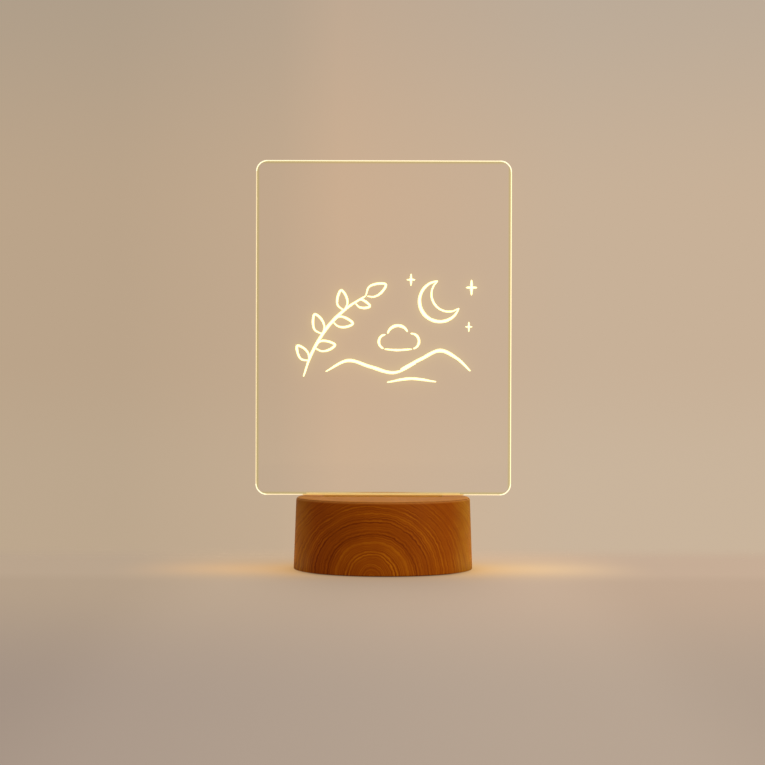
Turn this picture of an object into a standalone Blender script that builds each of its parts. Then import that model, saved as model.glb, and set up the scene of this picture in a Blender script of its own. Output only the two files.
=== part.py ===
"""Lit note board: a clear panel that stands in the slot of a round moulded base.

Metres, +Z up. The origin is the middle of the footprint, on the table. The front faces -Y, the controls +Y.
The base holds, from the table up: feet and bottom cover, three cells in a moulded tray, wiring space, the
LED board, the channel that carries the panel, and the shell's top plate.
"""

import math

import bmesh
import bpy
from mathutils import Matrix, Vector

# General clearances
FIT_GAP = 0.0003  # between faces that touch on the real product
OVERRUN = 0.002  # how far every cut runs past the face it starts from
ROOT_SINK = 0.0005  # how far a boss or rib is rooted in the wall that it grows from
MERGE_DISTANCE = 0.0000001  # points of a turned solid that lie closer than this are one

# Clear panel
PANEL_WIDTH = 0.150
PANEL_HEIGHT = 0.1964
PANEL_THICKNESS = 0.004
PANEL_CORNER_RADIUS = 0.0065
PANEL_EDGE_CHAMFER = 0.0004
SHOULDER_GAP = 0.001
TAB_WIDTH = 0.070
TAB_CORNER_RADIUS = 0.002
TAB_ROOT_RADIUS = 0.001

# Base shell
BASE_FOOT_DIAMETER = 0.105
BASE_TOP_DIAMETER = 0.102
SHELL_WALL = 0.0025
RIM_WALL = 0.0014
RIM_LIFT = 0.0004
RIM_CHAMFER = 0.0004
TOP_PLATE = 0.0036
TOP_FILLET = 0.002
INNER_FILLET = 0.0015
SLOT_CLEARANCE = 0.0005
COVER_BOSS_DIAMETER = 0.0064
SMALL_BOSS_DIAMETER = 0.0056
GUSSET_THICKNESS = 0.0012
GUSSET_LIFT = 0.010
HOLDER_BOSS_DEPTH = 0.0047

# Control recess at the rear
CONTROL_HEIGHT = 0.0215
RECESS_DEPTH = 0.0021
RECESS_WIDTH = 0.030
RECESS_HEIGHT = 0.011
RECESS_CORNER_RADIUS = 0.0015
RECESS_WALL = 0.0025
RECESS_BACKING_MARGIN = 0.0015
INLET_X = -0.0065
BUTTON_X = 0.0065

# Power inlet
INLET_WIDTH = 0.00894
INLET_HEIGHT = 0.00326
INLET_DEPTH = 0.00735
INLET_SHEET = 0.0003
INLET_BACK = 0.0005
INLET_FIT = 0.00015
INLET_BLOCK_DEPTH = 0.0018
INLET_FOOT_WIDTH = 0.006
TONGUE_WIDTH = 0.0067
TONGUE_THICKNESS = 0.0007
TONGUE_SETBACK = 0.0008

# Push-button and switch
BUTTON_DIAMETER = 0.007
BUTTON_PROUD = 0.0018
BUTTON_TRAVEL = 0.0015
BUTTON_EDGE = 0.0006
BUTTON_DISH = 0.0003
BUTTON_FLANGE_DIAMETER = 0.0088
BUTTON_FLANGE_THICKNESS = 0.0012
BUTTON_SOCKET_DEPTH = 0.0028
PLUNGER_SIDE = 0.0024
SWITCH_WIDTH = 0.007
SWITCH_HEIGHT = 0.0046
SWITCH_LENGTH = 0.008
SWITCH_POCKET = 0.0068
SWITCH_EDGE = 0.0003

# Boards
BOARD_THICKNESS = 0.0016
CONTROL_BOARD_TRAY_GAP = 0.002
CONTROL_BOARD_EDGE_GAP = 0.0006
CONTROL_BOARD_SIDE_INSET = 0.0028
CONTROL_BOARD_SCREW_INSET = 0.0035
SWITCH_BOSS_GAP = 0.0005
BOARD_CORNER_RADIUS = 0.001
CHIP_LENGTH = 0.005
CHIP_WIDTH = 0.004
CHIP_HEIGHT = 0.0015
CHIP_EDGE = 0.0003
CHIP_INLET_GAP = 0.001
LED_BOARD_MARGIN = 0.0005
LED_BOARD_WIDTH = 0.009
LED_COUNT = 8
LED_LENGTH = 0.0035
LED_WIDTH = 0.0028
LED_HEIGHT = 0.0007
LED_RIM = 0.0004
LED_LENS_DEPTH = 0.00015

# Channel that carries the panel
HOLDER_DEPTH = 0.013
HOLDER_FLOOR = 0.0024
HOLDER_END = 0.0047
HOLDER_SIDE = 0.0032
HOLDER_CORNER_RADIUS = 0.002
LEDGE_LENGTH = 0.006
WINDOW_WIDTH = 0.0036
EAR_X = 0.031
EAR_REACH = 0.0037
EAR_RADIUS = 0.0033
EAR_THICKNESS = 0.003

# Screws
COVER_SCREW_HEAD = 0.0052
COVER_SCREW_HEAD_HEIGHT = 0.0016
COVER_SCREW_SHANK = 0.0026
COVER_SCREW_LENGTH = 0.010
SMALL_SCREW_HEAD = 0.0038
SMALL_SCREW_HEAD_HEIGHT = 0.0013
SMALL_SCREW_SHANK = 0.002
SMALL_SCREW_LENGTH = 0.007
HEAD_ROUND_SHARE = 1 / 3
SCREW_POINT_SHARE = 1 / 3

# Bottom cover, tray and feet
COVER_RECESS = 0.001
COVER_THICKNESS = 0.003
COVER_CHAMFER = 0.0004
TRAY_WALL = 0.0024
TRAY_ROOF = 0.0016
TRAY_CORNER_RADIUS = 0.002
TRAY_EDGE = 0.0006
CELL_RIB_THICKNESS = 0.0008
CELL_RIB_DEPTH = 0.004
CELL_RIB_SETBACK = 0.002
WIRING_SPACE = 0.004
PAD_DIAMETER = 0.009
PAD_SEAT_THICKNESS = 0.0018
FOOT_DIAMETER = 0.009
FOOT_HEIGHT = 0.002
FOOT_EDGE = 0.0003
FOOT_RIM_GAP = 0.0018
FOOT_DOOR_GAP = 0.0012

# Battery door
DOOR_THICKNESS = 0.002
DOOR_LEDGE = 0.0015
DOOR_CORNER_RADIUS = 0.001
DOOR_LIP = 0.0009
DOOR_TAB_WIDTH = 0.006
DOOR_TAB_REACH = 0.0023
DOOR_TAB_Y = 0.014
GRIP_COUNT = 3
GRIP_PITCH = 0.0022
GRIP_WIDTH = 0.001
GRIP_LENGTH = 0.014
GRIP_DEPTH = 0.0005
GRIP_INSET = 0.0045
RELIEF_WIDTH = 0.0006
RELIEF_DEPTH = 0.0004
LATCH_WIDTH = 0.008
LATCH_LEG = 0.0007
LATCH_GAP = 0.0008
LATCH_SETBACK = 0.0008
LATCH_HEIGHT = 0.0038
LATCH_NOSE = 0.0003
LATCH_NOSE_HEIGHT = 0.0012
LATCH_GRIP_LIFT = 0.0006
LATCH_NOTCH_GAP = 0.0005

# Cells and contacts
CELL_COUNT = 3
CELL_DIAMETER = 0.0142
CELL_LENGTH = 0.0505
CELL_NUB_DIAMETER = 0.0055
CELL_NUB_HEIGHT = 0.001
CELL_EDGE = 0.0005
CELL_SPACING = 0.0008
CONTACT_THICKNESS = 0.0005
CONTACT_SIDE = 0.011
CONTACT_TAG_WIDTH = 0.0024
CONTACT_TAG_RISE = 0.0021
SPRING_WIRE = 0.0006
SPRING_LENGTH = 0.0057
SPRING_BASE_RADIUS = 0.0042
SPRING_TIP_RADIUS = 0.0028
SPRING_TURNS = 3

# Wires
WIRE_DIAMETER = 0.0012
WIRE_LEAD_IN = 0.0008
WIRE_BOARD_INSET = 0.0025
WIRE_BEND = 0.0012
BATTERY_LEAD_X = 0.0052
LED_LEAD_X = 0.0019
LED_LEAD_Y = 0.0029

# How finely round forms are cut
BASE_SEGMENTS = 80
CORNER_STEPS = 8
SMALL_CORNER_STEPS = 3
BOSS_SEGMENTS = 16
SCREW_SEGMENTS = 12
CELL_SEGMENTS = 20
FOOT_SEGMENTS = 24
BUTTON_SEGMENTS = 28
INLET_STEPS = 6
SPRING_POINTS_PER_TURN = 10
SPRING_SIDE_STEPS = 1
WIRE_POINTS = 12
WIRE_SIDE_STEPS = 2
SMOOTH_ANGLE = math.radians(35)
BEVEL_ANGLE = math.radians(60)
MILLIMETRES_PER_METRE = 1000

# Heights that follow from the stack
COVER_BOTTOM_Z = RIM_LIFT + COVER_RECESS
COVER_TOP_Z = COVER_BOTTOM_Z + COVER_THICKNESS
DOOR_TOP_Z = COVER_BOTTOM_Z + DOOR_THICKNESS
TRAY_SEAT_Z = DOOR_TOP_Z + FIT_GAP
CELL_AXIS_Z = TRAY_SEAT_Z + CELL_DIAMETER / 2
TRAY_CEILING_Z = CELL_AXIS_Z + CELL_DIAMETER / 2 + FIT_GAP
TRAY_TOP_Z = TRAY_CEILING_Z + TRAY_ROOF
LED_BOARD_Z = TRAY_TOP_Z + WIRING_SPACE
HOLDER_Z = LED_BOARD_Z + BOARD_THICKNESS + FIT_GAP
LEDGE_Z = HOLDER_Z + HOLDER_FLOOR
TAB_Z = LEDGE_Z + FIT_GAP
HOLDER_TOP_Z = HOLDER_Z + HOLDER_DEPTH
PLATE_UNDER_Z = HOLDER_TOP_Z + FIT_GAP
BASE_TOP_Z = PLATE_UNDER_Z + TOP_PLATE
PANEL_BOTTOM_Z = BASE_TOP_Z + SHOULDER_GAP
PANEL_TOP_Z = PANEL_BOTTOM_Z + PANEL_HEIGHT

# Half sizes of the tray, the door and the channel
CELL_PITCH = CELL_DIAMETER + CELL_SPACING
BAY_HALF_X = (CELL_LENGTH + SPRING_LENGTH + 2 * CONTACT_THICKNESS + 5 * FIT_GAP) / 2
BAY_HALF_Y = (CELL_COUNT - 1) / 2 * CELL_PITCH + CELL_DIAMETER / 2 + FIT_GAP
TRAY_HALF_X = BAY_HALF_X + TRAY_WALL
TRAY_HALF_Y = BAY_HALF_Y + TRAY_WALL
OPENING_HALF_X = BAY_HALF_X + DOOR_LEDGE
OPENING_HALF_Y = BAY_HALF_Y + DOOR_LEDGE
DOOR_HALF_X = OPENING_HALF_X - FIT_GAP
DOOR_HALF_Y = OPENING_HALF_Y - FIT_GAP
TAB_HALF = TAB_WIDTH / 2
PANEL_HALF_Y = PANEL_THICKNESS / 2
CAVITY_HALF_X = TAB_HALF + FIT_GAP
CAVITY_HALF_Y = PANEL_HALF_Y + FIT_GAP
HOLDER_HALF_X = CAVITY_HALF_X + HOLDER_END
HOLDER_HALF_Y = CAVITY_HALF_Y + HOLDER_SIDE
WINDOW_HALF_X = TAB_HALF - LEDGE_LENGTH
LED_SCREW_X = CAVITY_HALF_X + HOLDER_END / 2
EAR_Y = HOLDER_HALF_Y + EAR_REACH

# The cover, and its four corners, where a foot hides each screw: beside the door and just inside the rim
COVER_RADIUS = BASE_FOOT_DIAMETER / 2 - RIM_WALL - FIT_GAP
STEP_Z = COVER_TOP_Z + FIT_GAP
CORNER_CIRCLE = COVER_RADIUS - FOOT_RIM_GAP - FOOT_DIAMETER / 2
CORNER_Y = OPENING_HALF_Y + FOOT_DOOR_GAP + FOOT_DIAMETER / 2
CORNER_X = math.sqrt(CORNER_CIRCLE**2 - CORNER_Y**2)
FOOT_POCKET_Z = FOOT_HEIGHT + FIT_GAP
COVER_SCREW_SEAT_Z = FOOT_POCKET_Z + COVER_SCREW_HEAD_HEIGHT
PAD_SEAT_Z = COVER_SCREW_SEAT_Z + FIT_GAP
PAD_TOP_Z = PAD_SEAT_Z + PAD_SEAT_THICKNESS
COVER_BOSS_Z = PAD_TOP_Z + FIT_GAP

# Battery door: the hinge line lies between the cover's lip and the root of the door's tabs
HINGE_X = -(OPENING_HALF_X + DOOR_HALF_X) / 2
HINGE_Z = COVER_BOTTOM_Z + DOOR_LIP + FIT_GAP / 2
DOOR_TAB_Z = HINGE_Z + FIT_GAP / 2
DOOR_TAB_END = DOOR_HALF_X + DOOR_TAB_REACH
DOOR_TAB_SWEEP = math.hypot(DOOR_TAB_END + HINGE_X, DOOR_TOP_Z - HINGE_Z)
LATCH_INNER_X = DOOR_HALF_X + LATCH_SETBACK
LATCH_OUTER_X = LATCH_INNER_X + 2 * LATCH_LEG + LATCH_GAP
LATCH_BEND_Z = DOOR_TOP_Z + LATCH_HEIGHT
LATCH_BEND_RADIUS = LATCH_LEG + LATCH_GAP / 2
NOTCH_END_X = LATCH_OUTER_X + LATCH_NOSE + LATCH_NOTCH_GAP

# Control board and what stands on it
CONTROL_BOARD_TOP_Z = CONTROL_HEIGHT - SWITCH_HEIGHT / 2 - FIT_GAP
CONTROL_BOARD_Z = CONTROL_BOARD_TOP_Z - BOARD_THICKNESS
CONTROL_BOARD_FRONT = TRAY_HALF_Y + CONTROL_BOARD_TRAY_GAP
CONTROL_BOARD_SCREW_X = BUTTON_X + SWITCH_WIDTH / 2 + SWITCH_BOSS_GAP + SMALL_BOSS_DIAMETER / 2
CONTROL_BOARD_SCREW_Y = CONTROL_BOARD_FRONT + CONTROL_BOARD_SCREW_INSET
CONTROL_BOARD_HALF_X = CONTROL_BOARD_SCREW_X + CONTROL_BOARD_SIDE_INSET
BUTTON_BACK = -(RECESS_WALL + FIT_GAP + BUTTON_FLANGE_THICKNESS)
SWITCH_FRONT = BUTTON_BACK - BUTTON_TRAVEL - FIT_GAP

# Finishes: colour, roughness, metallic
FINISHES = {
    "clear_acrylic": ((0.93, 0.90, 0.84), 0.04, 0.0),
    "wood_grain_plastic": ((0.42, 0.15, 0.025), 0.38, 0.0),
    "white_plastic": ((0.86, 0.84, 0.79), 0.45, 0.0),
    "brown_plastic": ((0.10, 0.055, 0.03), 0.55, 0.0),
    "dark_rubber": ((0.05, 0.045, 0.04), 0.85, 0.0),
    "white_board": ((0.82, 0.82, 0.78), 0.4, 0.0),
    "green_board": ((0.03, 0.16, 0.07), 0.4, 0.0),
    "led_body": ((0.95, 0.80, 0.42), 0.3, 0.0),
    "black_plastic": ((0.02, 0.02, 0.022), 0.45, 0.0),
    "steel": ((0.62, 0.61, 0.59), 0.3, 1.0),
    "nickel": ((0.72, 0.70, 0.66), 0.25, 1.0),
    "cell_jacket": ((0.16, 0.17, 0.18), 0.35, 0.3),
    "red_wire": ((0.55, 0.02, 0.015), 0.45, 0.0),
    "black_wire": ((0.02, 0.02, 0.02), 0.45, 0.0),
}


def clear_scene():
    """Empties the scene that the script starts in."""
    for thing in list(bpy.data.objects):
        bpy.data.objects.remove(thing, do_unlink=True)


def finish(name):
    """The Principled material of that name, made on first use."""
    found = bpy.data.materials.get(name)
    if found:
        return found
    colour, roughness, metallic = FINISHES[name]
    made = bpy.data.materials.new(name)
    made.use_nodes = True
    shader = made.node_tree.nodes["Principled BSDF"]
    shader.inputs["Base Color"].default_value = (*colour, 1)
    shader.inputs["Roughness"].default_value = roughness
    shader.inputs["Metallic"].default_value = metallic
    made.diffuse_color = (*colour, 1)
    if name == "clear_acrylic":
        shader.inputs["Transmission Weight"].default_value = 1
    return made


# Outlines, as lists of two-dimensional points


def arc(centre, radius, start, end, steps):
    """Points on an arc from one angle to another, in degrees, both ends included."""
    angles = (math.radians(start + (end - start) * step / steps) for step in range(steps + 1))
    return [(centre[0] + radius * math.cos(a), centre[1] + radius * math.sin(a)) for a in angles]


def circle(centre, radius, segments):
    """A closed circle."""
    return arc(centre, radius, 0, 360, segments)[:-1]


def rectangle(low, high):
    """A rectangle between two corners."""
    return [low, (high[0], low[1]), high, (low[0], high[1])]


def rounded(centre, half, radius, steps):
    """A rectangle with round corners about a centre."""
    inner = (half[0] - radius, half[1] - radius)
    points = []
    for quarter, (side, end) in enumerate([(1, 1), (-1, 1), (-1, -1), (1, -1)]):
        corner = (centre[0] + side * inner[0], centre[1] + end * inner[1])
        points += arc(corner, radius, quarter * 90, quarter * 90 + 90, steps)
    return points


# Solids, added to a bmesh


def prism(mesh, outline, low, high, along="Z"):
    """Extrudes an outline between two places along an axis."""
    spot = {
        "X": lambda u, v, w: (w, u, v),
        "Y": lambda u, v, w: (u, w, v),
        "Z": lambda u, v, w: (u, v, w),
    }[along]
    face = mesh.faces.new([mesh.verts.new(spot(u, v, low)) for u, v in outline])
    grown = bmesh.ops.extrude_face_region(mesh, geom=[face])["geom"]
    moved = [item for item in grown if isinstance(item, bmesh.types.BMVert)]
    bmesh.ops.translate(mesh, verts=moved, vec=Vector(spot(0, 0, high - low)))
    return moved


def turned(mesh, profile, segments):
    """Spins a profile of radius and height pairs about the Z axis. It starts and ends on the axis."""
    points = [mesh.verts.new((radius, 0, height)) for radius, height in profile]
    lines = [mesh.edges.new(pair) for pair in zip(points, points[1:])]
    bmesh.ops.spin(
        mesh,
        geom=points + lines,
        cent=(0, 0, 0),
        axis=(0, 0, 1),
        angle=math.tau,
        steps=segments,
        use_merge=True,
    )
    bmesh.ops.remove_doubles(mesh, verts=mesh.verts[:], dist=MERGE_DISTANCE)


def shape(*solids):
    """A new bmesh that holds what each of the given functions adds to it."""
    mesh = bmesh.new()
    for add in solids:
        add(mesh)
    return mesh


# Objects


def piece(name, mesh, material, origin=(0, 0, 0), parent=None):
    """Makes an object of a bmesh that is drawn in world places, with its origin at a given place."""
    bmesh.ops.recalc_face_normals(mesh, faces=mesh.faces[:])
    mesh.transform(Matrix.Translation(-Vector(origin)))
    data = bpy.data.meshes.new(name)
    mesh.to_mesh(data)
    mesh.free()
    data.shade_smooth()
    data.set_sharp_from_angle(angle=SMOOTH_ANGLE)
    made = bpy.data.objects.new(name, data)
    bpy.context.scene.collection.objects.link(made)
    made.location = origin
    if material:
        data.materials.append(finish(material))
    if parent:
        made.parent = parent
        made.location = Vector(origin) - parent.location
    return made


def copy_of(source, name, location, rotation=(0, 0, 0)):
    """Another object on the same mesh."""
    made = bpy.data.objects.new(name, source.data)
    bpy.context.scene.collection.objects.link(made)
    made.location = location
    made.rotation_euler = rotation
    return made


def axis_point(name, place):
    """An empty that marks the place of a joint."""
    made = bpy.data.objects.new(name, None)
    bpy.context.scene.collection.objects.link(made)
    made.location = place
    made.empty_display_size = FOOT_DIAMETER
    return made


def combine(target, operation, *meshes):
    """Joins solids to an object, or cuts them from it, one after another, and keeps the result."""
    tools = []
    for number, mesh in enumerate(meshes):
        tool = piece(f"{target.name}_tool_{number}", mesh, None)
        tool.hide_render = True
        tool.display_type = "WIRE"
        tools.append(tool)
        modifier = target.modifiers.new(tool.name, "BOOLEAN")
        modifier.operation = operation
        modifier.solver = "EXACT"
        modifier.object = tool
    settle(target)
    for tool in tools:
        bpy.data.objects.remove(tool, do_unlink=True)


def settle(target):
    """Replaces an object's mesh by the result of its modifiers."""
    bpy.context.view_layer.update()
    graph = bpy.context.evaluated_depsgraph_get()
    result = bpy.data.meshes.new_from_object(target.evaluated_get(graph))
    target.modifiers.clear()
    target.data = result
    result.name = target.name
    result.shade_smooth()
    result.set_sharp_from_angle(angle=SMOOTH_ANGLE)


def mesh_of(source):
    """Takes an object out of the scene and returns its mesh as a bmesh."""
    mesh = bmesh.new()
    mesh.from_mesh(source.data)
    bpy.data.objects.remove(source, do_unlink=True)
    return mesh


def bevelled(target, width):
    """Chamfers an object's sharp edges."""
    modifier = target.modifiers.new("edge", "BEVEL")
    modifier.width = width
    modifier.segments = 1
    modifier.limit_method = "ANGLE"
    modifier.angle_limit = BEVEL_ANGLE
    settle(target)


# The base shell's surfaces


def outer_radius(height):
    """The shell's outer radius at a height: it narrows evenly from the rim to the top."""
    share = (height - RIM_LIFT) / (BASE_TOP_Z - RIM_LIFT)
    return (BASE_FOOT_DIAMETER + (BASE_TOP_DIAMETER - BASE_FOOT_DIAMETER) * share) / 2


def inner_radius(height):
    """The shell's inner radius at a height above the step for the cover."""
    return outer_radius(height) - SHELL_WALL


RECESS_FLOOR_Y = outer_radius(CONTROL_HEIGHT) - RECESS_DEPTH
RECESS_BACK_Y = RECESS_FLOOR_Y - RECESS_WALL
CONTROL_BOARD_REAR = RECESS_BACK_Y - CONTROL_BOARD_EDGE_GAP


def shell_profile():
    """Half section of the shell, from the axis on top round the wall to the axis under the top plate."""
    fillet_z = BASE_TOP_Z - TOP_FILLET
    fillet_r = outer_radius(fillet_z) - TOP_FILLET
    under_z = PLATE_UNDER_Z - INNER_FILLET
    under_r = inner_radius(under_z) - INNER_FILLET
    rim_r = COVER_RADIUS + FIT_GAP
    points = [(0, BASE_TOP_Z)]
    points += arc((fillet_r, fillet_z), TOP_FILLET, 90, 0, CORNER_STEPS // 2)
    points += [
        (outer_radius(RIM_LIFT + RIM_CHAMFER), RIM_LIFT + RIM_CHAMFER),
        (outer_radius(RIM_LIFT) - RIM_CHAMFER, RIM_LIFT),
        (rim_r, RIM_LIFT),
        (rim_r, STEP_Z),
        (inner_radius(STEP_Z), STEP_Z),
    ]
    points += arc((under_r, under_z), INNER_FILLET, 0, 90, SMALL_CORNER_STEPS)
    points += [(0, PLATE_UNDER_Z)]
    return points


def corner_places():
    """The middles of the four cover screws and of the feet that hide them."""
    return [(CORNER_X, CORNER_Y), (-CORNER_X, CORNER_Y), (-CORNER_X, -CORNER_Y), (CORNER_X, -CORNER_Y)]


def ear_places():
    """The middles of the channel's two ears, on opposite sides."""
    return [(EAR_X, EAR_Y), (-EAR_X, -EAR_Y)]


def board_screw_places():
    """The middles of the control board's two screws."""
    return [(side * CONTROL_BOARD_SCREW_X, CONTROL_BOARD_SCREW_Y) for side in (-1, 1)]


def posts(places, diameter, low, high):
    """Round posts at several places, as a function that adds them to a bmesh."""

    def add(mesh):
        for place in places:
            prism(mesh, circle(place, diameter / 2, BOSS_SEGMENTS), low, high)

    return add


def gussets(mesh):
    """Ribs that tie the cover bosses to the wall."""
    low = COVER_TOP_Z + GUSSET_LIFT
    reach = inner_radius(low) + ROOT_SINK
    half = GUSSET_THICKNESS / 2
    for across, along in corner_places():
        rib = bmesh.new()
        prism(rib, rectangle((CORNER_CIRCLE, -half), (reach, half)), low, PLATE_UNDER_Z + ROOT_SINK)
        rib.transform(Matrix.Rotation(math.atan2(along, across), 4, "Z"))
        data = bpy.data.meshes.new("rib")
        rib.to_mesh(data)
        rib.free()
        mesh.from_mesh(data)
        bpy.data.meshes.remove(data)


def wall_middle(height):
    """The radius of the middle of the shell's wall at a height."""
    return inner_radius(height) + SHELL_WALL / 2


def make_bosses():
    """The screw bosses and their ribs, cut off where they are rooted in the wall, as a bmesh."""
    root_z = PLATE_UNDER_Z + ROOT_SINK
    solid = shape(
        posts(corner_places(), COVER_BOSS_DIAMETER, COVER_BOSS_Z, root_z),
        posts(ear_places(), SMALL_BOSS_DIAMETER, PLATE_UNDER_Z - HOLDER_BOSS_DEPTH, root_z),
        posts(board_screw_places(), SMALL_BOSS_DIAMETER, CONTROL_BOARD_TOP_Z + FIT_GAP, root_z),
    )
    bosses = piece("bosses", solid, None)
    combine(bosses, "UNION", shape(gussets))
    profile = [
        (0, root_z + OVERRUN),
        (wall_middle(root_z + OVERRUN), root_z + OVERRUN),
        (wall_middle(STEP_Z), STEP_Z),
        (0, STEP_Z),
    ]
    combine(bosses, "INTERSECT", shape(lambda m: turned(m, profile, BASE_SEGMENTS)))
    return mesh_of(bosses)


def make_shell():
    """The moulded shell: drafted wall, top slot, bosses, and the flat recess for the controls."""
    solid = shape(lambda m: turned(m, shell_profile(), BASE_SEGMENTS))
    shell = piece("base_shell", solid, "wood_grain_plastic")
    combine(shell, "UNION", make_bosses())

    backing_half = (RECESS_WIDTH / 2 + RECESS_BACKING_MARGIN, RECESS_HEIGHT / 2 + RECESS_BACKING_MARGIN)
    backing = piece(
        "recess_backing",
        shape(
            lambda m: prism(
                m,
                rounded((0, CONTROL_HEIGHT), backing_half, RECESS_CORNER_RADIUS, SMALL_CORNER_STEPS),
                RECESS_BACK_Y,
                outer_radius(CONTROL_HEIGHT),
                "Y",
            )
        ),
        None,
    )
    middle_disc = circle((0, 0), wall_middle(CONTROL_HEIGHT), BASE_SEGMENTS)
    combine(backing, "INTERSECT", shape(lambda m: prism(m, middle_disc, 0, BASE_TOP_Z)))
    combine(shell, "UNION", mesh_of(backing))

    screw_tip = COVER_SCREW_SEAT_Z + COVER_SCREW_LENGTH
    ear_tip = PLATE_UNDER_Z - HOLDER_BOSS_DEPTH - EAR_THICKNESS - 2 * FIT_GAP + SMALL_SCREW_LENGTH
    board_tip = CONTROL_BOARD_Z - FIT_GAP + SMALL_SCREW_LENGTH
    small_bore = SMALL_SCREW_SHANK + 2 * FIT_GAP
    cover_bore = COVER_SCREW_SHANK + 2 * FIT_GAP
    slot_half = (TAB_HALF + SLOT_CLEARANCE, PANEL_HALF_Y + SLOT_CLEARANCE)
    recess_half = (RECESS_WIDTH / 2, RECESS_HEIGHT / 2)
    window_half = (INLET_WIDTH / 2 + FIT_GAP, INLET_HEIGHT / 2 + FIT_GAP)
    combine(
        shell,
        "DIFFERENCE",
        shape(
            posts(corner_places(), cover_bore, COVER_BOSS_Z - OVERRUN, screw_tip + FIT_GAP),
            posts(ear_places(), small_bore, PLATE_UNDER_Z - HOLDER_BOSS_DEPTH - OVERRUN, ear_tip + FIT_GAP),
            posts(board_screw_places(), small_bore, CONTROL_BOARD_TOP_Z - OVERRUN, board_tip + FIT_GAP),
            lambda m: prism(
                m,
                rounded((0, 0), slot_half, slot_half[1] / 2, SMALL_CORNER_STEPS),
                PLATE_UNDER_Z - OVERRUN,
                BASE_TOP_Z + OVERRUN,
            ),
        ),
        shape(
            lambda m: prism(
                m,
                rounded((0, CONTROL_HEIGHT), recess_half, RECESS_CORNER_RADIUS, SMALL_CORNER_STEPS),
                RECESS_FLOOR_Y,
                outer_radius(CONTROL_HEIGHT) + OVERRUN,
                "Y",
            )
        ),
        shape(
            lambda m: prism(
                m,
                rounded((INLET_X, CONTROL_HEIGHT), window_half, window_half[1], INLET_STEPS),
                RECESS_BACK_Y - OVERRUN,
                RECESS_FLOOR_Y + OVERRUN,
                "Y",
            ),
            lambda m: prism(
                m,
                circle((BUTTON_X, CONTROL_HEIGHT), BUTTON_DIAMETER / 2 + FIT_GAP, BUTTON_SEGMENTS),
                RECESS_BACK_Y - OVERRUN,
                RECESS_FLOOR_Y + OVERRUN,
                "Y",
            ),
        ),
    )


# The panel


def panel_outline():
    """The panel seen from the front: a rounded sheet on a narrower tab."""
    half = PANEL_WIDTH / 2
    corner = PANEL_CORNER_RADIUS
    foot = TAB_CORNER_RADIUS
    root = TAB_ROOT_RADIUS
    low = PANEL_BOTTOM_Z
    high = PANEL_TOP_Z
    points = arc((-TAB_HALF + foot, TAB_Z + foot), foot, 180, 270, SMALL_CORNER_STEPS)
    points += arc((TAB_HALF - foot, TAB_Z + foot), foot, 270, 360, SMALL_CORNER_STEPS)
    points += arc((TAB_HALF + root, low - root), root, 180, 90, SMALL_CORNER_STEPS)
    points += arc((half - corner, low + corner), corner, 270, 360, CORNER_STEPS)
    points += arc((half - corner, high - corner), corner, 0, 90, CORNER_STEPS)
    points += arc((-half + corner, high - corner), corner, 90, 180, CORNER_STEPS)
    points += arc((-half + corner, low + corner), corner, 180, 270, CORNER_STEPS)
    points += arc((-TAB_HALF - root, low - root), root, 90, 0, SMALL_CORNER_STEPS)
    return points


def make_panel():
    """The clear panel, with its origin at the foot of the tab, on the line that it lifts along."""
    lift = axis_point("panel_lift_axis", (0, 0, TAB_Z))
    solid = shape(lambda m: prism(m, panel_outline(), -PANEL_HALF_Y, PANEL_HALF_Y, "Y"))
    panel = piece("acrylic_panel", solid, "clear_acrylic", (0, 0, TAB_Z), lift)
    bevelled(panel, PANEL_EDGE_CHAMFER)


# The channel under the slot, and the LED board


def ears(mesh):
    """The channel's two ears, each a tongue with a round end."""
    for side in (1, -1):
        root = side * (HOLDER_HALF_Y - ROOT_SINK)
        first = 0 if side > 0 else 180
        end = arc((side * EAR_X, side * EAR_Y), EAR_RADIUS, first, first + 180, CORNER_STEPS)
        outline = end + [(end[-1][0], root), (end[0][0], root)]
        top = PLATE_UNDER_Z - HOLDER_BOSS_DEPTH - FIT_GAP
        prism(mesh, outline, top - EAR_THICKNESS, top)


def make_holder():
    """The channel: a trough for the tab with two ledges, a light window in its floor and two screw ears."""
    half = (HOLDER_HALF_X, HOLDER_HALF_Y)
    body = rounded((0, 0), half, HOLDER_CORNER_RADIUS, SMALL_CORNER_STEPS)
    holder = piece("panel_holder", shape(lambda m: prism(m, body, HOLDER_Z, HOLDER_TOP_Z)), "white_plastic")
    combine(holder, "UNION", shape(ears))
    cavity = rectangle((-CAVITY_HALF_X, -CAVITY_HALF_Y), (CAVITY_HALF_X, CAVITY_HALF_Y))
    window = rectangle((-WINDOW_HALF_X, -WINDOW_WIDTH / 2), (WINDOW_HALF_X, WINDOW_WIDTH / 2))
    bore = SMALL_SCREW_SHANK + 2 * FIT_GAP
    screw_tip = LED_BOARD_Z - FIT_GAP + SMALL_SCREW_LENGTH
    combine(
        holder,
        "DIFFERENCE",
        shape(lambda m: prism(m, cavity, LEDGE_Z, HOLDER_TOP_Z + OVERRUN)),
        shape(
            lambda m: prism(m, window, HOLDER_Z - OVERRUN, LEDGE_Z + OVERRUN),
            posts([(-LED_SCREW_X, 0), (LED_SCREW_X, 0)], bore, HOLDER_Z - OVERRUN, screw_tip + FIT_GAP),
            posts(ear_places(), bore, LEDGE_Z, HOLDER_TOP_Z),
        ),
    )
    seat = PLATE_UNDER_Z - HOLDER_BOSS_DEPTH - EAR_THICKNESS - 2 * FIT_GAP
    small_screws("holder_screw", ear_places(), seat)


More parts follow.
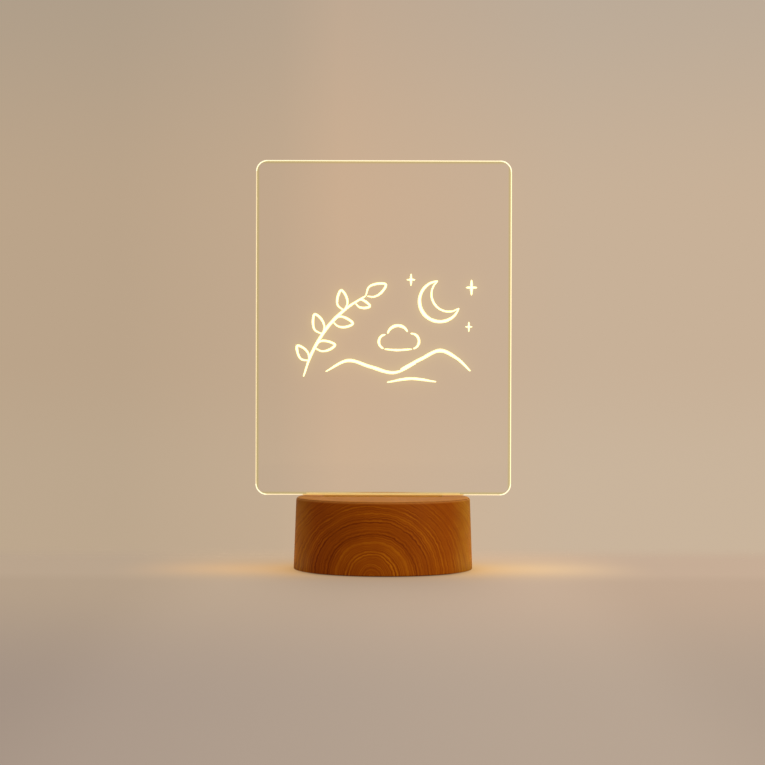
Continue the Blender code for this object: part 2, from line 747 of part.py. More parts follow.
def make_led_board():
    """The narrow board under the channel, with its row of LEDs in the light window."""
    half = (HOLDER_HALF_X - LED_BOARD_MARGIN, LED_BOARD_WIDTH / 2)
    outline = rounded((0, 0), half, BOARD_CORNER_RADIUS, SMALL_CORNER_STEPS)
    top = LED_BOARD_Z + BOARD_THICKNESS
    board = piece("led_board", shape(lambda m: prism(m, outline, LED_BOARD_Z, top)), "white_board")
    places = [(-LED_SCREW_X, 0), (LED_SCREW_X, 0)]
    bore = SMALL_SCREW_SHANK + 2 * FIT_GAP
    combine(board, "DIFFERENCE", shape(posts(places, bore, LED_BOARD_Z - OVERRUN, top + OVERRUN)))
    small_screws("led_board_screw", places, LED_BOARD_Z - FIT_GAP)

    seat = top + FIT_GAP
    pitch = 2 * WINDOW_HALF_X / LED_COUNT
    source = None
    for number in range(LED_COUNT):
        place = (-WINDOW_HALF_X + (number + 1 / 2) * pitch, 0, seat)
        name = f"led_{number + 1}"
        if source:
            copy_of(source, name, place)
            continue
        mesh = bmesh.new()
        corner = (LED_LENGTH / 2, LED_WIDTH / 2)
        prism(mesh, rectangle((-corner[0], -corner[1]), corner), 0, LED_HEIGHT)
        mesh.faces.ensure_lookup_table()
        lens = max(mesh.faces, key=lambda face: face.calc_center_median().z)
        bmesh.ops.inset_individual(mesh, faces=[lens], thickness=LED_RIM, depth=0)
        bmesh.ops.translate(mesh, verts=lens.verts[:], vec=(0, 0, -LED_LENS_DEPTH))
        source = piece(name, mesh, "led_body")
        source.location = place


# Screws


def screw(mesh, head, head_height, shank, length):
    """A round-headed screw that points up, with the seat of its head at the origin."""
    round_off = head_height * HEAD_ROUND_SHARE
    tip = shank / 2
    profile = [
        (0, -head_height),
        (head / 2 - round_off, -head_height),
        (head / 2, -head_height + round_off),
        (head / 2, 0),
        (shank / 2, 0),
        (shank / 2, length - tip),
        (tip * SCREW_POINT_SHARE, length),
        (0, length),
    ]
    turned(mesh, profile, SCREW_SEGMENTS)


def row_of(stem, places, height, mesh, material):
    """The same piece at several places, numbered from 1."""
    first = piece(f"{stem}_1", mesh, material)
    first.location = (*places[0], height)
    for number, place in enumerate(places[1:], 2):
        copy_of(first, f"{stem}_{number}", (*place, height))


def small_screws(stem, places, seat):
    """Small screws whose heads seat at a height."""
    sizes = (SMALL_SCREW_HEAD, SMALL_SCREW_HEAD_HEIGHT, SMALL_SCREW_SHANK, SMALL_SCREW_LENGTH)
    row_of(stem, places, seat, shape(lambda m: screw(m, *sizes)), "steel")


def make_cover_screws():
    """The four screws of the bottom cover, their heads sunk in it under the feet."""
    sizes = (COVER_SCREW_HEAD, COVER_SCREW_HEAD_HEIGHT, COVER_SCREW_SHANK, COVER_SCREW_LENGTH)
    row_of("cover_screw", corner_places(), COVER_SCREW_SEAT_Z, shape(lambda m: screw(m, *sizes)), "steel")


# Controls: built along the way out of the recess, which is +Y, from its floor


def make_control_board():
    """The board that carries inlet, switch and driver chip, notched where the button moves."""
    outline = rounded(
        (0, (CONTROL_BOARD_FRONT + CONTROL_BOARD_REAR) / 2),
        (CONTROL_BOARD_HALF_X, (CONTROL_BOARD_REAR - CONTROL_BOARD_FRONT) / 2),
        BOARD_CORNER_RADIUS,
        SMALL_CORNER_STEPS,
    )
    solid = shape(lambda m: prism(m, outline, CONTROL_BOARD_Z, CONTROL_BOARD_TOP_Z))
    board = piece("control_board", solid, "green_board")
    bore = SMALL_SCREW_SHANK + 2 * FIT_GAP
    cut = (CONTROL_BOARD_Z - OVERRUN, CONTROL_BOARD_TOP_Z + OVERRUN)
    notch_half = BUTTON_FLANGE_DIAMETER / 2 + FIT_GAP
    notch = rectangle(
        (BUTTON_X - notch_half, RECESS_FLOOR_Y + SWITCH_FRONT),
        (BUTTON_X + notch_half, CONTROL_BOARD_REAR + OVERRUN),
    )
    wall = min(inner_radius(CONTROL_BOARD_Z), inner_radius(CONTROL_BOARD_TOP_Z))
    room = circle((0, 0), wall - CONTROL_BOARD_EDGE_GAP, BASE_SEGMENTS)
    combine(board, "INTERSECT", shape(lambda m: prism(m, room, *cut)))
    holes = posts(board_screw_places(), bore, *cut)
    combine(board, "DIFFERENCE", shape(holes, lambda m: prism(m, notch, *cut)))
    small_screws("board_screw", board_screw_places(), CONTROL_BOARD_Z - FIT_GAP)

    chip_y = RECESS_FLOOR_Y - FIT_GAP - INLET_DEPTH - CHIP_INLET_GAP - CHIP_WIDTH / 2
    low = (INLET_X - CHIP_LENGTH / 2, chip_y - CHIP_WIDTH / 2)
    high = (INLET_X + CHIP_LENGTH / 2, chip_y + CHIP_WIDTH / 2)
    seat = CONTROL_BOARD_TOP_Z + FIT_GAP
    block = shape(lambda m: prism(m, rectangle(low, high), seat, seat + CHIP_HEIGHT))
    chip = piece("control_chip", block, "black_plastic")
    bevelled(chip, CHIP_EDGE)


def make_inlet():
    """The power inlet: a drawn sheet shell with a foot on the board, and the tongue inside it."""
    centre = (INLET_X, CONTROL_HEIGHT)
    half = (INLET_WIDTH / 2, INLET_HEIGHT / 2)
    mouth = RECESS_FLOOR_Y - FIT_GAP
    back = mouth - INLET_DEPTH
    outer = rounded(centre, half, half[1], INLET_STEPS)
    socket = piece("usb_socket", shape(lambda m: prism(m, outer, back, mouth, "Y")), "nickel")
    foot_half = INLET_FOOT_WIDTH / 2
    foot = rectangle(
        (INLET_X - foot_half, CONTROL_BOARD_TOP_Z + FIT_GAP),
        (INLET_X + foot_half, CONTROL_HEIGHT),
    )
    combine(socket, "UNION", shape(lambda m: prism(m, foot, back, CONTROL_BOARD_REAR - FIT_GAP, "Y")))
    hollow_half = (half[0] - INLET_SHEET, half[1] - INLET_SHEET)
    hollow = rounded(centre, hollow_half, hollow_half[1], INLET_STEPS)
    combine(socket, "DIFFERENCE", shape(lambda m: prism(m, hollow, back + INLET_BACK, mouth + OVERRUN, "Y")))

    block_half = (hollow_half[0] - INLET_FIT, hollow_half[1] - INLET_FIT)
    block = rounded(centre, block_half, block_half[1], INLET_STEPS)
    start = back + INLET_BACK + INLET_FIT
    root = shape(lambda m: prism(m, block, start, start + INLET_BLOCK_DEPTH, "Y"))
    tongue = piece("usb_tongue", root, "black_plastic")
    low = (INLET_X - TONGUE_WIDTH / 2, CONTROL_HEIGHT - TONGUE_THICKNESS / 2)
    high = (INLET_X + TONGUE_WIDTH / 2, CONTROL_HEIGHT + TONGUE_THICKNESS / 2)
    inner_end = start + INLET_BLOCK_DEPTH / 2
    blade = shape(lambda m: prism(m, rectangle(low, high), inner_end, mouth - TONGUE_SETBACK, "Y"))
    combine(tongue, "UNION", blade)


def make_switch():
    """The switch on the board, its plunger, and the cap, which slides along Y with the plunger."""
    axis = axis_point("power_button_axis", (BUTTON_X, RECESS_FLOOR_Y, CONTROL_HEIGHT))
    front = RECESS_FLOOR_Y + SWITCH_FRONT

    def block(width, height):
        return rectangle(
            (BUTTON_X - width / 2, CONTROL_HEIGHT - height / 2),
            (BUTTON_X + width / 2, CONTROL_HEIGHT + height / 2),
        )

    outline = block(SWITCH_WIDTH, SWITCH_HEIGHT)
    solid = shape(lambda m: prism(m, outline, front - SWITCH_LENGTH, front, "Y"))
    body = piece("switch_body", solid, "black_plastic")
    bevelled(body, SWITCH_EDGE)
    stem = block(PLUNGER_SIDE, PLUNGER_SIDE)
    pocket = block(PLUNGER_SIDE + 2 * FIT_GAP, PLUNGER_SIDE + 2 * FIT_GAP)
    bore = shape(lambda m: prism(m, pocket, front - SWITCH_POCKET, front + OVERRUN, "Y"))
    combine(body, "DIFFERENCE", bore)

    socket_end = RECESS_FLOOR_Y + BUTTON_BACK + BUTTON_SOCKET_DEPTH
    inner_end = front - SWITCH_POCKET + BUTTON_TRAVEL + FIT_GAP
    rod = shape(lambda m: prism(m, stem, inner_end, socket_end - FIT_GAP, "Y"))
    piece("switch_plunger", rod, "white_plastic", axis.location, axis)

    radius = BUTTON_DIAMETER / 2
    flange = BUTTON_FLANGE_DIAMETER / 2
    face_radius = radius - BUTTON_EDGE
    profile = [(0, BUTTON_PROUD - BUTTON_DISH), (face_radius / 2, BUTTON_PROUD - BUTTON_DISH / 2)]
    profile += arc((face_radius, BUTTON_PROUD - BUTTON_EDGE), BUTTON_EDGE, 90, 0, SMALL_CORNER_STEPS)
    profile += [
        (radius, BUTTON_BACK + BUTTON_FLANGE_THICKNESS),
        (flange, BUTTON_BACK + BUTTON_FLANGE_THICKNESS),
        (flange, BUTTON_BACK),
        (0, BUTTON_BACK),
    ]
    mesh = shape(lambda m: turned(m, profile, BUTTON_SEGMENTS))
    mesh.transform(Matrix.Translation(axis.location) @ Matrix.Rotation(-math.pi / 2, 4, "X"))
    cap = piece("button_cap", mesh, "brown_plastic", axis.location, axis)
    socket_start = RECESS_FLOOR_Y + BUTTON_BACK - OVERRUN
    combine(cap, "DIFFERENCE", shape(lambda m: prism(m, pocket, socket_start, socket_end, "Y")))


# Bottom cover with the battery tray


def cell_rows():
    """The Y of each cell's axis, from the front to the rear."""
    return [(number - (CELL_COUNT - 1) / 2) * CELL_PITCH for number in range(CELL_COUNT)]


def door_tab_places():
    """The Y of each of the door's two tabs."""
    return [-DOOR_TAB_Y, DOOR_TAB_Y]


def make_cover():
    """The bottom cover: a disc in the rim, with the tray rising from it and the door's opening in it."""
    profile = [
        (0, COVER_BOTTOM_Z),
        (COVER_RADIUS - COVER_CHAMFER, COVER_BOTTOM_Z),
        (COVER_RADIUS, COVER_BOTTOM_Z + COVER_CHAMFER),
        (COVER_RADIUS, COVER_TOP_Z),
        (0, COVER_TOP_Z),
    ]
    cover = piece("bottom_cover", shape(lambda m: turned(m, profile, BASE_SEGMENTS)), "brown_plastic")
    block = piece(
        "tray_block",
        shape(
            lambda m: prism(
                m,
                rounded((0, 0), (TRAY_HALF_X, TRAY_HALF_Y), TRAY_CORNER_RADIUS, SMALL_CORNER_STEPS),
                COVER_BOTTOM_Z + COVER_THICKNESS / 2,
                TRAY_TOP_Z,
            )
        ),
        None,
    )
    bevelled(block, TRAY_EDGE)
    pads = shape(posts(corner_places(), PAD_DIAMETER, COVER_BOTTOM_Z + COVER_THICKNESS / 2, PAD_TOP_Z))
    combine(cover, "UNION", mesh_of(block), pads)

    opening_half = (OPENING_HALF_X, OPENING_HALF_Y)
    bay = rectangle((-BAY_HALF_X, -BAY_HALF_Y), (BAY_HALF_X, BAY_HALF_Y))
    combine(
        cover,
        "DIFFERENCE",
        shape(
            lambda m: prism(
                m,
                rounded((0, 0), opening_half, DOOR_CORNER_RADIUS, SMALL_CORNER_STEPS),
                COVER_BOTTOM_Z - OVERRUN,
                TRAY_SEAT_Z,
            )
        ),
        shape(lambda m: prism(m, bay, COVER_BOTTOM_Z, TRAY_CEILING_Z)),
    )

    rib_half = BAY_HALF_X - CELL_RIB_SETBACK
    rib_rows = [(low + high) / 2 for low, high in zip(cell_rows(), cell_rows()[1:])]

    def ribs(mesh):
        for row in rib_rows:
            low = (-rib_half, row - CELL_RIB_THICKNESS / 2)
            high = (rib_half, row + CELL_RIB_THICKNESS / 2)
            prism(mesh, rectangle(low, high), TRAY_CEILING_Z - CELL_RIB_DEPTH, TRAY_CEILING_Z + ROOT_SINK)

    combine(cover, "UNION", shape(ribs))

    def hinge_pockets(mesh):
        half = DOOR_TAB_WIDTH / 2 + FIT_GAP
        for row in door_tab_places():
            low = (-(DOOR_TAB_END + FIT_GAP), row - half)
            high = (-BAY_HALF_X + OVERRUN, row + half)
            prism(mesh, rectangle(low, high), COVER_BOTTOM_Z + DOOR_LIP, HINGE_Z + DOOR_TAB_SWEEP + FIT_GAP)

    def latch_notch(mesh):
        half = LATCH_WIDTH / 2 + FIT_GAP
        outline = rectangle((BAY_HALF_X - OVERRUN, -half), (NOTCH_END_X, half))
        prism(mesh, outline, COVER_BOTTOM_Z - OVERRUN, LATCH_BEND_Z + LATCH_BEND_RADIUS + LATCH_NOTCH_GAP)

    def tag_slots(mesh):
        for side, row in ((-1, cell_rows()[0]), (1, cell_rows()[-1])):
            near = BAY_HALF_X - 2 * FIT_GAP - CONTACT_THICKNESS
            ends = sorted((side * near, side * BAY_HALF_X))
            half = CONTACT_TAG_WIDTH / 2 + FIT_GAP
            outline = rectangle((ends[0], row - half), (ends[1], row + half))
            prism(mesh, outline, TRAY_CEILING_Z - OVERRUN, TRAY_TOP_Z + OVERRUN)

    def foot_pockets(mesh):
        for place in corner_places():
            outline = circle(place, FOOT_DIAMETER / 2 + FIT_GAP, FOOT_SEGMENTS)
            prism(mesh, outline, COVER_BOTTOM_Z - OVERRUN, FOOT_POCKET_Z)

    def door_edge_relief(mesh):
        half = (OPENING_HALF_X + RELIEF_WIDTH, OPENING_HALF_Y + RELIEF_WIDTH)
        outline = rounded((0, 0), half, DOOR_CORNER_RADIUS + RELIEF_WIDTH, SMALL_CORNER_STEPS)
        prism(mesh, outline, COVER_BOTTOM_Z - OVERRUN, COVER_BOTTOM_Z + RELIEF_DEPTH)

    head_bore = COVER_SCREW_HEAD + 2 * FIT_GAP
    shank_bore = COVER_SCREW_SHANK + 2 * FIT_GAP
    combine(
        cover,
        "DIFFERENCE",
        shape(hinge_pockets, latch_notch, tag_slots, foot_pockets),
        shape(posts(corner_places(), head_bore, COVER_BOTTOM_Z, PAD_SEAT_Z)),
        shape(posts(corner_places(), shank_bore, FOOT_POCKET_Z, PAD_TOP_Z + OVERRUN)),
        shape(door_edge_relief),
    )


def make_feet():
    """Rubber feet, each a low disc set in the cover over a screw."""
    radius = FOOT_DIAMETER / 2
    profile = [(0, 0), (radius - FOOT_EDGE, 0), (radius, FOOT_EDGE), (radius, FOOT_HEIGHT), (0, FOOT_HEIGHT)]
    row_of("foot", corner_places(), 0, shape(lambda m: turned(m, profile, FOOT_SEGMENTS)), "dark_rubber")


def latch_outline():
    """The snap finger from the side: up from the door, round a bend and down to a nose and a grip."""
    inner = LATCH_INNER_X
    outer = LATCH_OUTER_X
    middle = ((inner + outer) / 2, LATCH_BEND_Z)
    nose_z = COVER_TOP_Z
    grip_z = COVER_BOTTOM_Z + LATCH_GRIP_LIFT
    points = [(DOOR_HALF_X - DOOR_LEDGE, COVER_BOTTOM_Z), (inner + LATCH_LEG, COVER_BOTTOM_Z)]
    points += arc(middle, LATCH_GAP / 2, 180, 0, SMALL_CORNER_STEPS)
    points += [
        (outer - LATCH_LEG, grip_z),
        (outer, grip_z),
        (outer, nose_z - LATCH_NOSE_HEIGHT / 2),
        (outer + LATCH_NOSE, nose_z),
        (outer, nose_z + LATCH_NOSE_HEIGHT / 2),
    ]
    points += arc(middle, LATCH_BEND_RADIUS, 0, 180, 2 * SMALL_CORNER_STEPS)
    points += [(inner, DOOR_TOP_Z), (DOOR_HALF_X - DOOR_LEDGE, DOOR_TOP_Z)]
    return points


def make_door():
    """The battery door, with its origin on the hinge line: plate, two tabs and a snap finger.

    The edge at the tabs is chamfered, so that the door clears the cover as it swings.
    """
    hinge = axis_point("battery_door_axis", (HINGE_X, 0, HINGE_Z))
    plate = rounded((0, 0), (DOOR_HALF_X, DOOR_HALF_Y), DOOR_CORNER_RADIUS, SMALL_CORNER_STEPS)
    solid = shape(lambda m: prism(m, plate, COVER_BOTTOM_Z, DOOR_TOP_Z))
    door = piece("battery_door", solid, "brown_plastic", hinge.location, hinge)
    chamfer = DOOR_TAB_Z - COVER_BOTTOM_Z
    wedge = [
        (-DOOR_HALF_X - OVERRUN, DOOR_TAB_Z + OVERRUN),
        (-DOOR_HALF_X - OVERRUN, COVER_BOTTOM_Z - OVERRUN),
        (-DOOR_HALF_X + chamfer + OVERRUN, COVER_BOTTOM_Z - OVERRUN),
    ]
    wide = DOOR_HALF_Y + OVERRUN
    combine(door, "DIFFERENCE", shape(lambda m: prism(m, wedge, -wide, wide, "Y")))

    def tabs(mesh):
        for row in door_tab_places():
            low = (-DOOR_TAB_END, row - DOOR_TAB_WIDTH / 2)
            high = (-DOOR_HALF_X + DOOR_LEDGE, row + DOOR_TAB_WIDTH / 2)
            prism(mesh, rectangle(low, high), DOOR_TAB_Z, DOOR_TOP_Z)

    half = LATCH_WIDTH / 2
    combine(door, "UNION", shape(tabs), shape(lambda m: prism(m, latch_outline(), -half, half, "Y")))

    def grip(mesh):
        for number in range(GRIP_COUNT):
            middle = DOOR_HALF_X - GRIP_INSET - number * GRIP_PITCH
            half = (GRIP_WIDTH / 2, GRIP_LENGTH / 2)
            outline = rounded((middle, 0), half, GRIP_WIDTH / 2, SMALL_CORNER_STEPS)
            prism(mesh, outline, COVER_BOTTOM_Z - OVERRUN, COVER_BOTTOM_Z + GRIP_DEPTH)

    combine(door, "DIFFERENCE", shape(grip))


# Cells, contacts and springs


def cell_ends():
    """For each cell the X of its negative end and the way to its positive end: they lie head to tail."""
    start = BAY_HALF_X - CONTACT_THICKNESS - SPRING_LENGTH - 3 * FIT_GAP
    return [(-start, 1) if number % 2 == 0 else (start, -1) for number in range(CELL_COUNT)]


def make_cells():
    """The cells, each a jacketed can with a nub on its positive end."""
    radius = CELL_DIAMETER / 2
    shoulder = CELL_LENGTH - CELL_NUB_HEIGHT
    nub = CELL_NUB_DIAMETER / 2
    profile = [
        (0, 0),
        (radius - CELL_EDGE, 0),
        (radius, CELL_EDGE),
        (radius, shoulder - CELL_EDGE),
        (radius - CELL_EDGE, shoulder),
        (nub, shoulder),
        (nub, CELL_LENGTH),
        (0, CELL_LENGTH),
    ]
    source = None
    for number, (row, (start, way)) in enumerate(zip(cell_rows(), cell_ends()), 1):
        name = f"battery_{number}"
        place = (start, row, CELL_AXIS_Z)
        turn = (0, way * math.pi / 2, 0)
        if source:
            copy_of(source, name, place, turn)
            continue
        source = piece(name, shape(lambda m: turned(m, profile, CELL_SEGMENTS)), "cell_jacket")
        source.location = place
        source.rotation_euler = turn


def contact(name, side, rows, tagged):
    """A sheet contact on an end wall of the tray, for one or two cells, with or without a solder tag."""
    near = side * (BAY_HALF_X - FIT_GAP)
    far = near - side * CONTACT_THICKNESS
    half = CONTACT_SIDE / 2
    low = (min(rows) - half, CELL_AXIS_Z - half)
    high = (max(rows) + half, CELL_AXIS_Z + half)
    start, end = sorted((near, far))
    made = piece(name, shape(lambda m: prism(m, rectangle(low, high), start, end, "X")), "nickel")
    if tagged:
        tag_half = CONTACT_TAG_WIDTH / 2
        tag_top = TRAY_TOP_Z + CONTACT_TAG_RISE
        tag = rectangle((rows[0] - tag_half, CELL_AXIS_Z), (rows[0] + tag_half, tag_top))
        combine(made, "UNION", shape(lambda m: prism(m, tag, start, end, "X")))


def make_contacts():
    """The contacts that put the three cells in series."""
    rows = cell_rows()
    contact("contact_first", -1, rows[:1], True)
    contact("contact_bridge_right", 1, rows[:2], False)
    contact("contact_bridge_left", -1, rows[1:], False)
    contact("contact_last", 1, rows[-1:], True)


def spring_points():
    """The centre line of a conical coil along +Z, whose ends run straight and square to their seats."""
    bend = SPRING_WIRE / 2
    start = SPRING_WIRE + bend
    rise = SPRING_LENGTH - 2 * start
    count = SPRING_TURNS * SPRING_POINTS_PER_TURN
    coil = []
    for number in range(count + 1):
        share = number / count
        angle = math.tau * SPRING_TURNS * share
        radius = SPRING_BASE_RADIUS + (SPRING_TIP_RADIUS - SPRING_BASE_RADIUS) * share
        coil.append(Vector((radius * math.cos(angle), radius * math.sin(angle), start + rise * share)))
    first, last = coil[0], coil[-1]
    foot = [Vector((first.x, first.y - bend, 0)), Vector((first.x, first.y - bend, SPRING_WIRE))]
    head = [
        Vector((last.x, last.y + bend, SPRING_LENGTH - SPRING_WIRE)),
        Vector((last.x, last.y + bend, SPRING_LENGTH)),
    ]
    return foot + coil + head


def least_gap(points, wire):
    """The least gap between a tube and itself, measured between points more than half a turn apart."""
    apart = SPRING_POINTS_PER_TURN // 2
    pairs = ((a, b) for i, a in enumerate(points) for b in points[i + apart :])
    return min((a - b).length for a, b in pairs) - wire


def tube(name, points, diameter, side_steps, material):
    """A round wire along points, with closed ends."""
    data = bpy.data.curves.new(name, "CURVE")
    data.dimensions = "3D"
    data.bevel_depth = diameter / 2
    data.bevel_resolution = side_steps
    data.use_fill_caps = True
    line = data.splines.new("POLY")
    line.points.add(len(points) - 1)
    for spot, point in zip(line.points, points):
        spot.co = (*point, 1)
    data.materials.append(finish(material))
    made = bpy.data.objects.new(name, data)
    bpy.context.scene.collection.objects.link(made)
    return made


def make_springs():
    """The coil contacts at the cells' negative ends."""
    points = spring_points()
    gap = least_gap(points, SPRING_WIRE) * MILLIMETRES_PER_METRE
    print(f"least gap of a spring to itself: {gap:.2f} mm")
    source = None
    for number, (row, (start, way)) in enumerate(zip(cell_rows(), cell_ends()), 1):
        name = f"battery_spring_{number}"
        place = (start - way * (FIT_GAP + SPRING_LENGTH), row, CELL_AXIS_Z)
        turn = (0, way * math.pi / 2, 0)
        if source:
            copy_of(source, name, place, turn)
            continue
        source = tube(name, points, SPRING_WIRE, SPRING_SIDE_STEPS, "nickel")
        source.location = place
        source.rotation_euler = turn


# Wires


def lead(name, start, start_way, end, end_way, material):
    """A wire that leaves its two ends straight and runs between them on one smooth curve."""
    start, end = Vector(start), Vector(end)
    start_way, end_way = Vector(start_way), Vector(end_way)
    corners = [start + start_way * WIRE_LEAD_IN, end + end_way * WIRE_LEAD_IN]
    reach = (corners[1] - corners[0]).length / 4
    flat = abs(start_way.z) < abs(start_way.x)
    handles = [
        corners[0] + start_way * (reach if flat else WIRE_BEND),
        corners[1] + end_way * WIRE_BEND,
    ]
    points = [start]
    for number in range(WIRE_POINTS + 1):
        t = number / WIRE_POINTS
        s = 1 - t
        points.append(
            corners[0] * s**3 + handles[0] * 3 * s**2 * t + handles[1] * 3 * s * t**2 + corners[1] * t**3
        )
    points.append(end)
    tube(name, points, WIRE_DIAMETER, WIRE_SIDE_STEPS, material)


def make_wires():
    """The wires from the cells to the control board, and from there to the LED board."""
    rows = cell_rows()
    tag_x = BAY_HALF_X - 2 * FIT_GAP - CONTACT_THICKNESS
    tag_z = TRAY_TOP_Z + CONTACT_TAG_RISE / 2
    board_y = CONTROL_BOARD_FRONT + WIRE_BOARD_INSET
    board_z = CONTROL_BOARD_TOP_Z + FIT_GAP
    up, down = (0, 0, 1), (0, 0, -1)
    for side, row, colour in ((-1, rows[0], "black"), (1, rows[-1], "red")):
        tag = (side * tag_x, row, tag_z)
        board_end = (side * BATTERY_LEAD_X, board_y, board_z)
        lead(f"battery_lead_{colour}", tag, (-side, 0, 0), board_end, up, f"{colour}_wire")
        pad = (side * LED_LEAD_X, LED_LEAD_Y, LED_BOARD_Z - FIT_GAP)
        board_end = (side * LED_LEAD_X, board_y, board_z)
        lead(f"led_lead_{colour}", pad, down, board_end, up, f"{colour}_wire")


def build():
    """Makes every piece of the note board."""
    clear_scene()
    make_shell()
    make_panel()
    make_holder()
    make_led_board()
    make_control_board()
    make_inlet()
    make_switch()
    make_cover()
    make_cover_screws()
    make_feet()
    make_door()
    make_cells()
    make_contacts()
    make_springs()
    make_wires()


build()
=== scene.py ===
"""The looks of a lit note board: a clear panel with a glowing marker drawing, on a round wood-look base."""

import logging
import math
from dataclasses import dataclass
from enum import Enum
from functools import cache
from typing import Any, Callable, Iterable, Sequence

import bmesh
import bpy
import numpy as np
from mathutils import Matrix, Vector


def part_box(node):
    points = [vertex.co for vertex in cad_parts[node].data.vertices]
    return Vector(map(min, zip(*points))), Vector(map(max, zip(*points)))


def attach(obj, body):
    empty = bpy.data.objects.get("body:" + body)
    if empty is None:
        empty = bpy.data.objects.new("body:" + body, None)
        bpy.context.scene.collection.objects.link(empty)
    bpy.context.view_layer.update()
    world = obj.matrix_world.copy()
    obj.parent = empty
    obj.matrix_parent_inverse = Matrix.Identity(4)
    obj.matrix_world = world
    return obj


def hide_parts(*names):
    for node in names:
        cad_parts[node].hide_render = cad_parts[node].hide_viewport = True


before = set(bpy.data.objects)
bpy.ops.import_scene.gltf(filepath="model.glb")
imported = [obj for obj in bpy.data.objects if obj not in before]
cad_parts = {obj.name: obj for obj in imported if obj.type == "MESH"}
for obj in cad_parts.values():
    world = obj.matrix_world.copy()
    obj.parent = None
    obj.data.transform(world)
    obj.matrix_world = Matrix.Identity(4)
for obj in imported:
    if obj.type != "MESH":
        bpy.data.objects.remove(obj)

LOG = logging.getLogger("note_board")
MM = 0.001
FRAME_PIXELS = 765
SENSOR_WIDTH = 36.0
FULL_TURN = 2 * math.pi
QUARTER_TURN = math.pi / 2
SAME_PLACE = 0.0001 * MM
USUAL_RANGE = (0.3, 0.7)

Colour = tuple[float, float, float]
Point = tuple[float, float]
Spot = tuple[float, float, float]
Level = tuple[float, float]
Span = tuple[float, float]
Socket = bpy.types.NodeSocket
Solid = bmesh.types.BMesh


def chart(red: int, green: int, blue: int) -> Colour:
    """Turns a colour of a paint chart, 0 to 255 a channel, into the light that it stands for.

    Args:
        red: The chart's red.
        green: The chart's green.
        blue: The chart's blue.

    Returns:
        The three channels as shares of full light.
    """
    knee, slope, offset, power = 0.04045, 12.92, 0.055, 2.4
    channels = (value / 255 for value in (red, green, blue))
    return tuple(c / slope if c <= knee else ((c + offset) / (1 + offset)) ** power for c in channels)


def scaled(colour: Colour, share: float) -> Colour:
    """Returns a colour made lighter or darker by a share of its light."""
    return tuple(channel * share for channel in colour)


